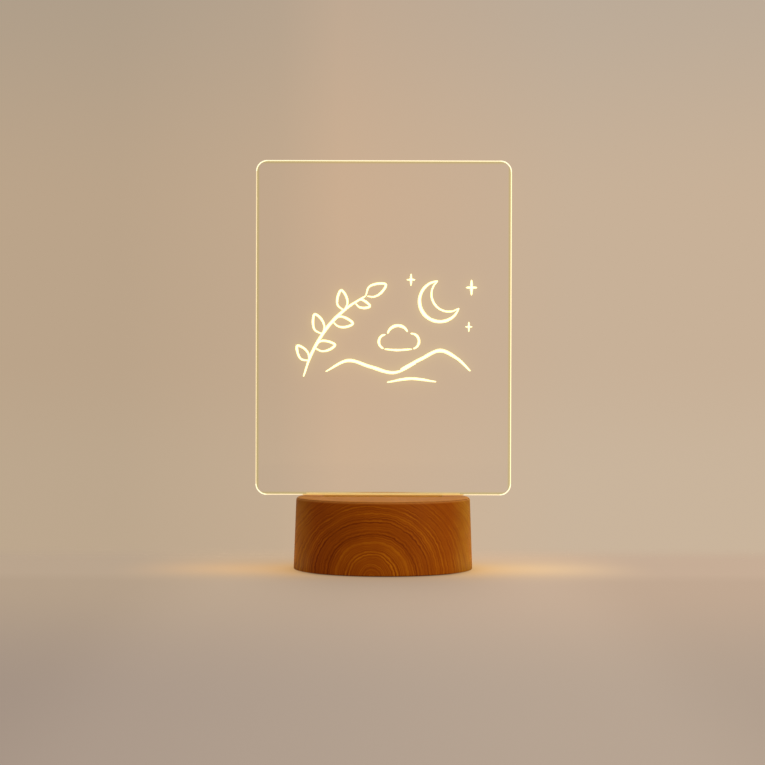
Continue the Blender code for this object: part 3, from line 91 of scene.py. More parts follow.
class Recipe:
    """Adds and wires the nodes of one tree, so that a finish reads from top to bottom."""

    def __init__(self, tree: bpy.types.NodeTree) -> None:
        """Starts with an empty tree."""
        self.tree = tree
        tree.nodes.clear()

    def node(self, kind: str, inputs: dict[Any, Any] | None = None, **settings: Any) -> bpy.types.Node:
        """Adds one node.

        Args:
            kind: The node's type name.
            inputs: Values or outputs of other nodes, by the input's name or number.
            **settings: The node's own settings.

        Returns:
            The new node.
        """
        made = self.tree.nodes.new(kind)
        for key, value in settings.items():
            setattr(made, key, value)
        for key, value in (inputs or {}).items():
            self.feed(made.inputs[key], value)
        return made

    def feed(self, socket: Socket, value: Any) -> None:
        """Gives an input its value, or wires another node's output to it.

        Args:
            socket: The input.
            value: A number, a colour of three channels, a vector or an output.
        """
        if isinstance(value, Socket):
            self.tree.links.new(value, socket)
        elif socket.type == "RGBA" and len(value) == 3:
            socket.default_value = (*value, 1.0)
        else:
            socket.default_value = value

    def place(self) -> Socket:
        """Returns the piece's own coordinates, in metres."""
        return self.node("ShaderNodeTexCoord").outputs["Object"]

    def parts(self, vector: Socket) -> tuple[Socket, ...]:
        """Returns the X, Y and Z of a vector."""
        return tuple(self.node("ShaderNodeSeparateXYZ", {0: vector}).outputs)

    def joined(self, x: Any, y: Any, z: Any) -> Socket:
        """Returns the vector with these X, Y and Z."""
        return self.node("ShaderNodeCombineXYZ", {0: x, 1: y, 2: z}).outputs[0]

    def sum(self, operation: str, *values: Any) -> Socket:
        """Works out one sum of one to three values; the operation is its name, such as MULTIPLY."""
        return self.node("ShaderNodeMath", dict(enumerate(values)), operation=operation).outputs[0]

    def times(self, first: Any, second: Any) -> Socket:
        """Returns the product of two values."""
        return self.sum("MULTIPLY", first, second)

    def vector(self, operation: str, *values: Any) -> Socket:
        """Works out one sum of vectors; the operation is its name, such as ADD."""
        made = self.node("ShaderNodeVectorMath", dict(enumerate(values)), operation=operation)
        return made.outputs["Value" if operation == "LENGTH" else "Vector"]

    def stretched(self, vector: Socket, scale: Sequence[float]) -> Socket:
        """Returns the vector with each part multiplied by its own scale."""
        return self.vector("MULTIPLY", vector, tuple(scale))

    def noise(
        self,
        vector: Socket,
        size: float,
        detail: float = 2.0,
        roughness: float = 0.5,
        coloured: bool = False,
    ) -> Socket:
        """Returns a soft random pattern around one half, or three as a colour; its size is in metres."""
        inputs = {"Vector": vector, "Scale": 1 / size, "Detail": detail, "Roughness": roughness}
        return self.node("ShaderNodeTexNoise", inputs).outputs["Color" if coloured else "Fac"]

    def bands(self, along: Socket, pitch: float, detail: float) -> Socket:
        """Returns uneven bands along one measure, about a pitch apart, as a pattern around one half."""
        inputs = {"W": along, "Scale": 1 / pitch, "Detail": detail}
        return self.node("ShaderNodeTexNoise", inputs, noise_dimensions="1D").outputs["Fac"]

    def spread(self, value: Any, low: float, high: float, new_low: float, new_high: float) -> Socket:
        """Maps the range from low to high to a new one, and holds what lies outside it at its ends."""
        inputs = {0: value, 1: low, 2: high, 3: new_low, 4: new_high}
        return self.node("ShaderNodeMapRange", inputs).outputs[0]

    def swing(self, pattern: Any, low: float, high: float) -> Socket:
        """Maps the range that a soft random pattern keeps to from low to high."""
        return self.spread(pattern, *USUAL_RANGE, low, high)

    def soft_step(self, value: Any, low: float, high: float) -> Socket:
        """Returns 0 before low, 1 after high, and an even curve between them."""
        inputs = {0: value, 1: low, 2: high}
        return self.node("ShaderNodeMapRange", inputs, interpolation_type="SMOOTHSTEP").outputs[0]

    def rest(self, share: Any) -> Socket:
        """Returns what a share leaves of the whole."""
        return self.sum("SUBTRACT", 1.0, share)

    def laid(self, tone: Any, pattern: Any, strength: Any) -> Socket:
        """Lays a random pattern over a tone, which it makes lighter and darker."""
        return self.sum("MULTIPLY_ADD", self.sum("SUBTRACT", pattern, 0.5), strength, tone)

    def ramp(self, share: Any, stops: Sequence[tuple[float, Colour]]) -> Socket:
        """Colours a pattern.

        Args:
            share: The pattern, from 0 to 1.
            stops: Shares with the colour at each, in order.

        Returns:
            The colour.
        """
        made = self.node("ShaderNodeValToRGB", {0: share})
        marks = made.color_ramp.elements
        while len(marks) < len(stops):
            marks.new(1.0)
        for mark, (position, colour) in zip(marks, stops):
            mark.position = position
            mark.color = (*colour, 1.0)
        return made.outputs["Color"]

    def tinted(self, pattern: Any, low: Colour, high: Colour) -> Socket:
        """Colours the range that a soft random pattern keeps to from low to high."""
        return self.ramp(pattern, list(zip(USUAL_RANGE, (low, high))))

    def mix(self, share: Any, first: Any, second: Any, mode: str = "MIX") -> Socket:
        """Mixes two colours; the share is how much of the second is in the mix."""
        made = self.node("ShaderNodeMix", {0: share, 6: first, 7: second}, data_type="RGBA", blend_type=mode)
        return made.outputs[2]

    def gained(self, share: Any, colour: Any, gain: Colour) -> Socket:
        """Multiplies a colour by its gain, as far as the share goes."""
        return self.mix(share, colour, self.mix(1.0, colour, gain, "MULTIPLY"))

    def bump(self, height: Any, strength: float, depth: float, normal: Any = None) -> Socket:
        """Turns a pattern into relief.

        Args:
            height: The pattern.
            strength: How much of the relief shows.
            depth: How deep it is, in metres.
            normal: Relief that this one lies on.

        Returns:
            The surface's direction with the relief.
        """
        inputs = {"Height": height, "Strength": strength, "Distance": depth}
        if normal is not None:
            inputs["Normal"] = normal
        return self.node("ShaderNodeBump", inputs).outputs[0]

    def surface(self, **inputs: Any) -> Socket:
        """Adds the main surface shader; an input's name has underscores for its spaces."""
        named = {key.replace("_", " "): value for key, value in inputs.items()}
        return self.node("ShaderNodeBsdfPrincipled", named).outputs[0]

    def finish(self, shader: Socket) -> None:
        """Wires the shader to the material's output."""
        self.node("ShaderNodeOutputMaterial", {0: shader})


MADE: dict[str, bpy.types.Material] = {}


@dataclass(frozen=True)
class Finish:
    """A finish that a piece can wear. Each kind writes its own recipe.

    Args:
        name: The material's name.
    """

    name: str

    def write(self, recipe: Recipe) -> None:
        """Fills the material's tree; each kind of finish has its own."""
        raise NotImplementedError(self.name)

    def material(self) -> bpy.types.Material:
        """Returns the finish's material, made on its first use.

        Returns:
            The material.
        """
        if self.name not in MADE:
            made = bpy.data.materials.new(self.name)
            made.use_nodes = True
            self.write(Recipe(made.node_tree))
            MADE[self.name] = made
        return MADE[self.name]


@dataclass(frozen=True)
class Moulded(Finish):
    """Moulded plastic or rubber with the fine texture of its mould.

    Args:
        colour: Its colour.
        roughness: How dull it is, from 0 to 1.
        grain: How wide the texture's grains are.
        depth: How deep they are.
        drift: How far the colour wanders, as a share of its light.
        gloss: How strongly it reflects what faces it.
    """

    colour: Colour
    roughness: float = 0.55
    grain: float = 0.25 * MM
    depth: float = 0.03 * MM
    drift: float = 0.10
    gloss: float = 0.4

    def write(self, recipe: Recipe) -> None:
        """Lays slow colour drift, mould texture and uneven dullness over each other.

        Args:
            recipe: The material's recipe.
        """
        place = recipe.place()
        slow = recipe.noise(place, 14 * MM, detail=3)
        fine = recipe.noise(place, self.grain, detail=2, roughness=0.6)
        tint = recipe.mix(0.25, slow, fine)
        dark, light = scaled(self.colour, 1 - self.drift), scaled(self.colour, 1 + self.drift)
        colour = recipe.tinted(tint, dark, light)
        dull = recipe.swing(slow, self.roughness - 0.05, self.roughness + 0.05)
        relief = recipe.bump(fine, 0.5, self.depth)
        recipe.finish(
            recipe.surface(Base_Color=colour, Roughness=dull, Normal=relief, Specular_IOR_Level=self.gloss)
        )


@dataclass(frozen=True)
class Plated(Finish):
    """Bare or plated metal, drawn or turned.

    Args:
        colour: The metal's colour.
        roughness: How dull it is.
        along: How far its fine scratches are drawn out along X, Y and Z.
        scratch: How wide they are.
        depth: How deep they are.
        uneven: How much less dull the metal is between them, and how much duller in them.
    """

    colour: Colour
    roughness: float = 0.3
    along: Spot = (1.0, 1.0, 6.0)
    scratch: float = 0.12 * MM
    depth: float = 0.01 * MM
    uneven: Span = (0.10, 0.12)

    def write(self, recipe: Recipe) -> None:
        """Lays drawn-out scratches and a faint stain over the metal.

        Args:
            recipe: The material's recipe.
        """
        place = recipe.place()
        drawn = recipe.stretched(place, [1 / share for share in self.along])
        scratches = recipe.noise(drawn, self.scratch, detail=3, roughness=0.65)
        stain = recipe.noise(place, 3 * MM, detail=3)
        colour = recipe.tinted(stain, scaled(self.colour, 0.86), self.colour)
        low, high = self.roughness - self.uneven[0], self.roughness + self.uneven[1]
        dull = recipe.spread(scratches, 0.25, 0.75, low, high)
        relief = recipe.bump(scratches, 0.2, self.depth)
        recipe.finish(recipe.surface(Base_Color=colour, Metallic=1.0, Roughness=dull, Normal=relief))


@dataclass(frozen=True)
class BoardMask(Finish):
    """A circuit board under its lacquer: glass weave below, copper runs just raised.

    Args:
        colour: The lacquer's colour.
        run_tint: Its colour where copper lies under it.
        weave: The weave's pitch.
        field: About how wide a field of runs is.
        runs: How many runs lie in each field.
        run: Where a run starts and ends, as shares of the runs' pitch.
        slope: How wide its slope is on each side.
        depth: How high a run stands.
    """

    colour: Colour
    run_tint: Colour
    weave: float = 0.5 * MM
    field: float = 3.2 * MM
    runs: float = 2.6
    run: Span = (0.30, 0.70)
    slope: float = 0.08
    depth: float = 0.035 * MM

    def write(self, recipe: Recipe) -> None:
        """Lays weave and copper runs under a glossy lacquer.

        Args:
            recipe: The material's recipe.
        """
        place = recipe.place()
        x, y, _ = recipe.parts(place)
        waves = [recipe.sum("SINE", recipe.times(way, FULL_TURN / self.weave)) for way in (x, y)]
        weave = recipe.times(*waves)
        cells = recipe.node(
            "ShaderNodeTexVoronoi",
            {"Vector": place, "Scale": 1 / self.field, "Randomness": 0.75},
            feature="F2",
            distance="CHEBYCHEV",
        )
        steps = recipe.sum("FRACT", recipe.times(cells.outputs["Distance"], self.runs))
        start, end = self.run
        rising = recipe.soft_step(steps, start, start + self.slope)
        falling = recipe.soft_step(steps, end, end - self.slope)
        runs = recipe.times(rising, falling)
        colour = recipe.mix(runs, self.colour, self.run_tint)
        relief = recipe.bump(recipe.sum("MULTIPLY_ADD", weave, 0.12, runs), 0.6, self.depth)
        dull = recipe.swing(recipe.noise(place, 4 * MM), 0.28, 0.4)
        recipe.finish(recipe.surface(Base_Color=colour, Roughness=dull, Normal=relief))


@dataclass(frozen=True)
class Figure:
    """One random pattern of a wood print, drawn out along Y as the log's fibres are.

    Args:
        size: How wide its features are.
        squeeze: How far it is drawn out: the share of Y that is read.
        detail: How many finer layers lie on it.
        roughness: How strong those layers are.
        strength: How much it does to the print; for one that bends the rings, how far it moves them.
    """

    size: float
    squeeze: float
    detail: float
    roughness: float = 0.5
    strength: float = 1.0

    def read(self, recipe: Recipe, place: Socket, coloured: bool = False) -> Socket:
        """Returns the pattern at a place; coloured, it is three patterns."""
        drawn = recipe.stretched(place, (1, self.squeeze, 1))
        return recipe.noise(drawn, self.size, self.detail, self.roughness, coloured=coloured)


@dataclass(frozen=True)
class WoodPrint(Finish):
    """Wood grain printed on the outside of a moulded shell, under a satin lacquer, with painted light laid
    over it.

    The print shows a block cut from beside the heart of a log that lies along Y, with the heart low in front.

    Args:
        dark: The print's darkest colour.
        middle: The colour half way.
        light: Its lightest colour.
        painted_top_light: The lighter colour of the top face, as painted light from the panel's glow and
            painted reflection.
        plain: The colour of the plain plastic inside.
        heart_x: Where the heart lies across the front.
        heart_z: Where the heart lies above the table.
        rim_radius: The shell's radius at its foot.
        rim_z: The height of its foot.
        lean: How much the radius shrinks for each metre of height.
        top: The height of the shell's top face.
        flatten: How much wider than high the rings are.
        ring: About how far apart the fine rings lie.
        band: About how far apart the broad bands lie.
        band_strength: How much they show.
        band_start: Where in their endless pattern the heart lies.
        years: Good and lean years: how far from the heart each lies, and how light its wood is.
        reach: How far from the heart the last of them lies.
        wander: The slow bends of the rings.
        shiver: Their fine trembling.
        mottle: Clouds of lighter and darker wood.
        pores: Fine streaks along the fibres.
        patches: Where the fine rings show more or less.
        patchy: How strong they are where they show least, and where most.
        keen: How much stronger the fine rings are at the heart.
        keen_end: How far from the heart they have their usual strength.
        blur: How much of their strength is left far out.
        blur_span: How far from the heart they start to fade, and where the fading ends.
        painted_light_right: How much lighter the print is painted at the right than in the middle, as painted
            light from the right.
        painted_flank_light: How far to a side the painted amber light and painted sheen start, and where they
            are at full strength.
        painted_flank_light_gain: How much lighter and yellower that painted light makes the print.
        painted_top_light_share: How much of the grain is lost under that painted light on the top face.
        skin: How deep the print reaches, before the plain plastic starts.
        bare_dull: How much duller the plain plastic is.
        depth: How deep the lacquer's waves and the rings are.
        gloss: How strongly the lacquer reflects what faces it.
    """

    dark: Colour
    middle: Colour
    light: Colour
    painted_top_light: Colour
    plain: Colour
    heart_x: float
    heart_z: float
    rim_radius: float
    rim_z: float
    lean: float
    top: float
    flatten: float = 0.97
    ring: float = 0.95 * MM
    band: float = 4.5 * MM
    band_strength: float = 0.20
    band_start: float = 41 * MM
    years: tuple[Span, ...] = (
        (0.0, 0.56),
        (10 * MM, 0.52),
        (13.5 * MM, 0.61),
        (16.0 * MM, 0.60),
        (19.2 * MM, 0.50),
        (20.8 * MM, 0.62),
        (23.0 * MM, 0.46),
        (25.0 * MM, 0.37),
        (29.0 * MM, 0.37),
        (33.0 * MM, 0.46),
        (36.0 * MM, 0.44),
        (37.4 * MM, 0.56),
        (39.5 * MM, 0.45),
        (49.0 * MM, 0.46),
        (58.0 * MM, 0.42),
        (61.0 * MM, 0.50),
    )
    reach: float = 64 * MM
    wander: Figure = Figure(22 * MM, 0.25, 2, strength=3 * MM)
    shiver: Figure = Figure(2.6 * MM, 0.25, 1, strength=1.3 * MM)
    mottle: Figure = Figure(14 * MM, 0.3, 4, roughness=0.6, strength=0.35)
    pores: Figure = Figure(0.32 * MM, 0.05, 2, strength=0.20)
    patches: Figure = Figure(8 * MM, 0.4, 1)
    patchy: Span = (0.45, 1.3)
    keen: float = 1.6
    keen_end: float = 9 * MM
    blur: float = 0.45
    blur_span: Span = (44 * MM, 54 * MM)
    painted_light_right: float = 0.10
    painted_flank_light: Span = (37 * MM, 50 * MM)
    painted_flank_light_gain: Colour = (1.06, 1.66, 2.5)
    painted_top_light_share: float = 0.7
    skin: float = 0.5 * MM
    bare_dull: float = 0.18
    depth: float = 0.03 * MM
    gloss: float = 0.03

    def printed(self, recipe: Recipe, place: Socket) -> Socket:
        """Tells the printed outside from the plain inside.

        Args:
            recipe: The material's recipe.
            place: The piece's coordinates.

        Returns:
            1 on the outside, 0 inside and in the control recess.
        """
        x, y, z = recipe.parts(place)
        out = recipe.vector("LENGTH", recipe.joined(x, y, 0.0))
        wall = recipe.sum("MULTIPLY_ADD", z, -self.lean, self.rim_radius + self.lean * self.rim_z - self.skin)
        on_wall = recipe.sum("GREATER_THAN", out, wall)
        on_top = recipe.sum("GREATER_THAN", z, self.top - self.skin)
        fillet_reach = self.rim_radius + self.top - 5 * self.skin
        on_fillet = recipe.sum("GREATER_THAN", recipe.sum("ADD", out, z), fillet_reach)
        return recipe.sum("MAXIMUM", recipe.sum("MAXIMUM", on_wall, on_top), on_fillet)

    def from_heart(self, recipe: Recipe, place: Socket) -> Socket:
        """Works out how far a point lies from the log's heart, along rings that bend and tremble.

        Args:
            recipe: The material's recipe.
            place: The piece's coordinates.

        Returns:
            The distance, in metres.
        """
        bent = place
        for figure in (self.wander, self.shiver):
            pull = recipe.vector("SUBTRACT", figure.read(recipe, place, coloured=True), (0.5, 0.5, 0.5))
            bent = recipe.vector("ADD", bent, recipe.stretched(pull, (figure.strength, 0.0, figure.strength)))
        x, _, z = recipe.parts(bent)
        across = recipe.times(recipe.sum("SUBTRACT", x, self.heart_x), self.flatten)
        up = recipe.sum("SUBTRACT", z, self.heart_z)
        return recipe.vector("LENGTH", recipe.joined(across, 0.0, up))

    def write(self, recipe: Recipe) -> None:
        """Lays fine rings, broad bands, painted light, pores and the lacquer over each other.

        Args:
            recipe: The material's recipe.
        """
        place = recipe.place()
        aside, _, height = recipe.parts(place)
        out = self.from_heart(recipe, place)
        rings = recipe.bands(out, self.ring, 1)
        stops = [(year / self.reach, (light, light, light)) for year, light in self.years]
        growth = recipe.ramp(recipe.sum("DIVIDE", out, self.reach), stops)
        broad = recipe.bands(recipe.sum("ADD", out, self.band_start), self.band, 1)
        mottle = self.mottle.read(recipe, place)
        patchy = recipe.swing(self.patches.read(recipe, place), *self.patchy)
        keen = recipe.spread(out, 0.0, self.keen_end, self.keen, 1.0)
        blur = recipe.spread(out, *self.blur_span, 1.0, self.blur)
        strength = recipe.times(patchy, recipe.times(keen, blur))
        tone = recipe.laid(growth, rings, strength)
        # painted light: the print grows lighter towards the right, as if lit from that side
        tone = recipe.sum("MULTIPLY_ADD", aside, self.painted_light_right / self.rim_radius, tone)
        tone = recipe.laid(tone, broad, self.band_strength)
        tone = recipe.laid(tone, mottle, self.mottle.strength)
        tone = recipe.laid(tone, self.pores.read(recipe, place), self.pores.strength)
        grain = recipe.ramp(tone, [(0.0, self.dark), (0.5, self.middle), (1.0, self.light)])
        # painted amber light and painted sheen: the print grows lighter and yellower towards both sides
        painted_flank_light = recipe.soft_step(recipe.sum("ABSOLUTE", aside), *self.painted_flank_light)
        grain = recipe.gained(painted_flank_light, grain, self.painted_flank_light_gain)
        # painted light and painted reflection: the top face is made lighter and plainer
        on_top = recipe.soft_step(height, self.top - 4 * self.skin, self.top)
        grain = recipe.mix(recipe.times(on_top, self.painted_top_light_share), grain, self.painted_top_light)
        inside = recipe.tinted(mottle, scaled(self.plain, 0.9), self.plain)
        outside = self.printed(recipe, place)
        colour = recipe.mix(outside, inside, grain)
        dull = recipe.swing(recipe.noise(place, 9 * MM, detail=3), 0.46, 0.56)
        dull = recipe.sum("MULTIPLY_ADD", recipe.rest(outside), self.bare_dull, dull)
        peel = recipe.noise(place, 0.8 * MM, detail=1)
        relief = recipe.bump(peel, 0.12, self.depth, recipe.bump(rings, 0.05, self.depth))
        recipe.finish(
            recipe.surface(Base_Color=colour, Roughness=dull, Normal=relief, Specular_IOR_Level=self.gloss)
        )


@dataclass(frozen=True)
class ClearSheet(Finish):
    """Clear cast acrylic that lets the lamps' light through.

    Args:
        half_width: Half the sheet's width.
        low: The height of its lower edge.
        high: The height of its upper edge.
        tint: What little colour it has.
        edge_tint: Its colour along its edges.
        edge_band: How wide that band is.
        edge_start: How much of the band has its full colour.
        bend: How strongly it bends light.
        shadow: The colour of the light that it lets through to what lies behind it.
    """

    half_width: float
    low: float
    high: float
    tint: Colour = (0.995, 0.985, 0.98)
    edge_tint: Colour = (0.95, 0.97, 0.62)
    edge_band: float = 2.4 * MM
    edge_start: float = 0.35
    bend: float = 1.49
    shadow: Colour = (0.96, 0.955, 0.94)

    def write(self, recipe: Recipe) -> None:
        """Bends what is seen through it, is honey-coloured along its edges, and stays clear to shadows.

        Args:
            recipe: The material's recipe.
        """
        place = recipe.place()
        smear = recipe.noise(place, 18 * MM, detail=4, roughness=0.7)
        dull = recipe.spread(smear, 0.45, 0.75, 0.0, 0.02)
        x, _, z = recipe.parts(place)
        beside = recipe.sum("SUBTRACT", self.half_width, recipe.sum("ABSOLUTE", x))
        above = recipe.sum("SUBTRACT", self.high, z)
        below = recipe.sum("ABSOLUTE", recipe.sum("SUBTRACT", z, self.low))
        nearest = recipe.sum("MINIMUM", beside, recipe.sum("MINIMUM", above, below))
        inner = recipe.soft_step(nearest, self.edge_start * self.edge_band, self.edge_band)
        colour = recipe.mix(inner, self.edge_tint, self.tint)
        glass = recipe.surface(
            Base_Color=colour, Roughness=dull, IOR=self.bend, Transmission_Weight=1.0, Specular_IOR_Level=0.5
        )
        clear = recipe.node("ShaderNodeBsdfTransparent", {0: self.shadow}).outputs[0]
        is_shadow = recipe.node("ShaderNodeLightPath").outputs["Is Shadow Ray"]
        recipe.finish(recipe.node("ShaderNodeMixShader", {0: is_shadow, 1: glass, 2: clear}).outputs[0])


@dataclass(frozen=True)
class Glowing(Finish):
    """A surface that light leaves: an edge of the panel, marker ink, or a lamp's lens.

    Args:
        colour: The colour of its light.
        strength: How bright it is.
        body: Its own colour in a lit room.
    """

    colour: Colour
    strength: float
    body: Colour

    def write(self, recipe: Recipe) -> None:
        """Lays an even glow over a faintly uneven body colour.

        Args:
            recipe: The material's recipe.
        """
        patch = recipe.noise(recipe.place(), 2.5 * MM, detail=3)
        recipe.finish(
            recipe.surface(
                Base_Color=recipe.tinted(patch, scaled(self.body, 0.9), self.body),
                Roughness=recipe.swing(patch, 0.25, 0.4),
                Emission_Color=(*self.colour, 1.0),
                Emission_Strength=self.strength,
            )
        )


@dataclass(frozen=True)
class CellSleeve(Finish):
    """The printed sleeve of a dry cell, bare steel at both ends, read along the cell's own axis.

    Args:
        colour: The sleeve's colour.
        collar_colour: The colour of the collar at its positive end.
        length: The sleeve's length.
        collar: How long the collar is.
        line: Half the width of the bright line between the two.
        line_colour: That line's colour.
    """

    colour: Colour
    collar_colour: Colour
    length: float
    collar: float
    line: float = 0.35 * MM
    line_colour: Colour = (0.75, 0.72, 0.66)

    def write(self, recipe: Recipe) -> None:
        """Colours the sleeve and its collar, with a fine bright line between them.

        Args:
            recipe: The material's recipe.
        """
        place = recipe.place()
        _, _, along = recipe.parts(place)
        start = self.length - self.collar
        foil = recipe.noise(recipe.stretched(place, (1, 1, 0.2)), 0.6 * MM, detail=3)
        body, collar = (
            recipe.tinted(foil, scaled(colour, 0.85), colour)
            for colour in (self.colour, self.collar_colour)
        )
        colour = recipe.mix(recipe.sum("GREATER_THAN", along, start), body, collar)
        colour = recipe.mix(recipe.sum("COMPARE", along, start, self.line), colour, self.line_colour)
        dull = recipe.swing(foil, 0.26, 0.36)
        relief = recipe.bump(foil, 0.15, 0.02 * MM)
        recipe.finish(recipe.surface(Base_Color=colour, Roughness=dull, Normal=relief, Metallic=0.35))


@dataclass(frozen=True)
class StudioGround(Finish):
    """A plain pale floor that fades into the backdrop behind the object, with a painted pool of light at each
    side and painted shade about the base.

    Args:
        near_left: The floor's colour about the object, at the left.
        near_right: Its colour there at the right.
        far_left: Its colour in front at the left.
        far_right: Its colour in front at the right.
        cream: Its colour where the panel's edge lights it.
        amber: Its colour where that light meets the base.
        own_share: How much of its brightness doesn't depend on the lamps.
        sides: Up to where its colour is all that of the left, and from where all that of the right.
        right_gain: How much more light the pool at the right has.
        rear_gain: How much more light the floor has behind the object.
        rear: Where that gain starts, and where it is reached.
        front: Where the darker front starts, and where it is reached.
        front_wide: How far to a side it ends, and where it starts to fade.
        shade_colour: The colour of all shade on it.
        shade: How much darker the floor is in front of the base.
        shade_reach: How far from the base that shade has fallen to a third.
        shade_depth: How far in front of the middle it is reached.
        shade_wide: How far to a side it starts to fade, and where it ends.
        wane: How much painted shade darkens it at the sides in front.
        wane_wide: How far to a side that starts, and where it is reached.
        wane_deep: The same towards the front.
        contact: How much painted contact shadow darkens it where the base stands on it.
        contact_reach: How far from the base that has fallen to a third.
        contact_filled: How much of it the pools of light fill at both sides.
        contact_inner: How far to a side they start to fill it.
        pool_share: How much of the floor's colour a pool takes.
        pool_depth: How far in front and behind a pool has fallen to a third.
        pool_wide: How far to a side a pool starts to fade, and where it ends.
        amber_reach: How far from the base its amber has fallen to a third.
        base_radius: The radius of the base's foot.
        fade: Where behind the object the floor starts to fade into the backdrop, and where it is gone.
        rim: The same for how far out its rim lies.
    """

    near_left: Colour
    near_right: Colour
    far_left: Colour
    far_right: Colour
    cream: Colour
    amber: Colour
    own_share: float = 0.78
    sides: Span = (-160 * MM, 90 * MM)
    right_gain: Colour = (1.18, 1.25, 1.29)
    rear_gain: Colour = (1.15, 1.11, 1.03)
    rear: Span = (-20 * MM, 90 * MM)
    front: Span = (-80 * MM, -560 * MM)
    front_wide: Span = (800 * MM, 300 * MM)
    shade_colour: Colour = (0.055, 0.020, 0.006)
    shade: float = 0.25
    shade_reach: float = 90 * MM
    shade_depth: float = -60 * MM
    shade_wide: Span = (20 * MM, 90 * MM)
    wane: float = 0.07
    wane_wide: Span = (85 * MM, 145 * MM)
    wane_deep: Span = (-30 * MM, -80 * MM)
    contact: float = 0.5
    contact_reach: float = 4 * MM
    contact_filled: float = 0.7
    contact_inner: float = 38 * MM
    pool_share: float = 0.9
    pool_depth: float = 50 * MM
    pool_wide: Span = (82 * MM, 165 * MM)
    amber_reach: float = 26 * MM
    base_radius: float = 52 * MM
    fade: Span = (58 * MM, 170 * MM)
    rim: Span = (1.1, 1.6)

    def fallen(self, recipe: Recipe, out: Any, reach: float) -> Socket:
        """Returns how far a shade or light has fallen beyond the base: a third is left at its reach."""
        inward = recipe.sum("SUBTRACT", self.base_radius, out)
        return recipe.sum("EXPONENT", recipe.sum("DIVIDE", inward, reach))

    def write(self, recipe: Recipe) -> None:
        """Paints the pools of light and the shades into the floor's colour, and fades the floor out.

        Args:
            recipe: The material's recipe.
        """
        place = recipe.place()
        x, y, _ = recipe.parts(place)
        beside, out = recipe.sum("ABSOLUTE", x), recipe.vector("LENGTH", place)
        wide = recipe.rest(recipe.soft_step(beside, *self.pool_wide))
        side = recipe.soft_step(x, *self.sides)
        near = recipe.mix(side, self.near_left, self.near_right)
        far = recipe.mix(side, self.far_left, self.far_right)
        narrow = recipe.soft_step(beside, *self.front_wide)
        front = recipe.times(recipe.soft_step(y, *self.front), narrow)
        # painted extra light on the floor behind the object
        behind = recipe.times(recipe.soft_step(y, *self.rear), wide)
        tone = recipe.gained(behind, recipe.mix(front, near, far), self.rear_gain)
        # painted shade in front of the base
        shade = self.fallen(recipe, out, self.shade_reach)
        shade = recipe.times(shade, recipe.spread(y, 0.0, self.shade_depth, 0.0, self.shade))
        narrow = recipe.rest(recipe.soft_step(beside, *self.shade_wide))
        tone = recipe.mix(recipe.times(shade, narrow), tone, self.shade_colour)
        # painted shade at the sides in front
        wane = recipe.soft_step(beside, *self.wane_wide)
        wane = recipe.times(wane, recipe.spread(y, *self.wane_deep, 0.0, self.wane))
        tone = recipe.mix(wane, tone, self.shade_colour)
        # painted pools of light from the panel's edges at both sides
        deep = recipe.sum("DIVIDE", y, self.pool_depth)
        deep = recipe.sum("EXPONENT", recipe.times(recipe.times(deep, deep), -1.0))
        pool = recipe.times(recipe.times(deep, wide), self.pool_share)
        close = recipe.sum("MINIMUM", self.fallen(recipe, beside, self.amber_reach), 1.0)
        lit = recipe.gained(side, recipe.mix(close, self.cream, self.amber), self.right_gain)
        tone = recipe.mix(pool, tone, lit)
        # painted contact shadow where the base stands, filled in by the painted pools of light at both sides
        contact = recipe.times(self.fallen(recipe, out, self.contact_reach), self.contact)
        contact = recipe.sum("MINIMUM", contact, 1.0)
        filled = recipe.spread(beside, self.contact_inner, self.base_radius, 0.0, self.contact_filled)
        tone = recipe.mix(recipe.times(contact, recipe.rest(filled)), tone, self.shade_colour)
        shine = recipe.node("ShaderNodeEmission", {0: tone}).outputs[0]
        matt = recipe.node("ShaderNodeBsdfDiffuse", {0: tone}).outputs[0]
        ground = recipe.node("ShaderNodeMixShader", {0: self.own_share, 1: matt, 2: shine}).outputs[0]
        gone = recipe.sum("MAXIMUM", recipe.soft_step(y, *self.fade), recipe.soft_step(out, *self.rim))
        clear = recipe.node("ShaderNodeBsdfTransparent").outputs[0]
        recipe.finish(recipe.node("ShaderNodeMixShader", {0: gone, 1: ground, 2: clear}).outputs[0])


class Slot(Enum):
    """The record's material slots."""

    CLEAR = "clear_acrylic"
    INK = "marker_ink"
    WOOD = "wood_grain_plastic"
    WHITE_PLASTIC = "white_plastic"
    BROWN_PLASTIC = "brown_plastic"
    RUBBER = "dark_rubber"
    WHITE_BOARD = "white_board"
    GREEN_BOARD = "green_board"
    LAMP = "led_body"
    BLACK_PLASTIC = "black_plastic"
    STEEL = "steel"
    NICKEL = "nickel"
    CELL = "cell_jacket"
    RED_WIRE = "red_wire"
    BLACK_WIRE = "black_wire"


class Body(Enum):
    """The bodies that pieces ride on."""

    BASE = "base"
    PANEL = "panel"
    BUTTON = "power_button"
    DOOR = "battery_door"


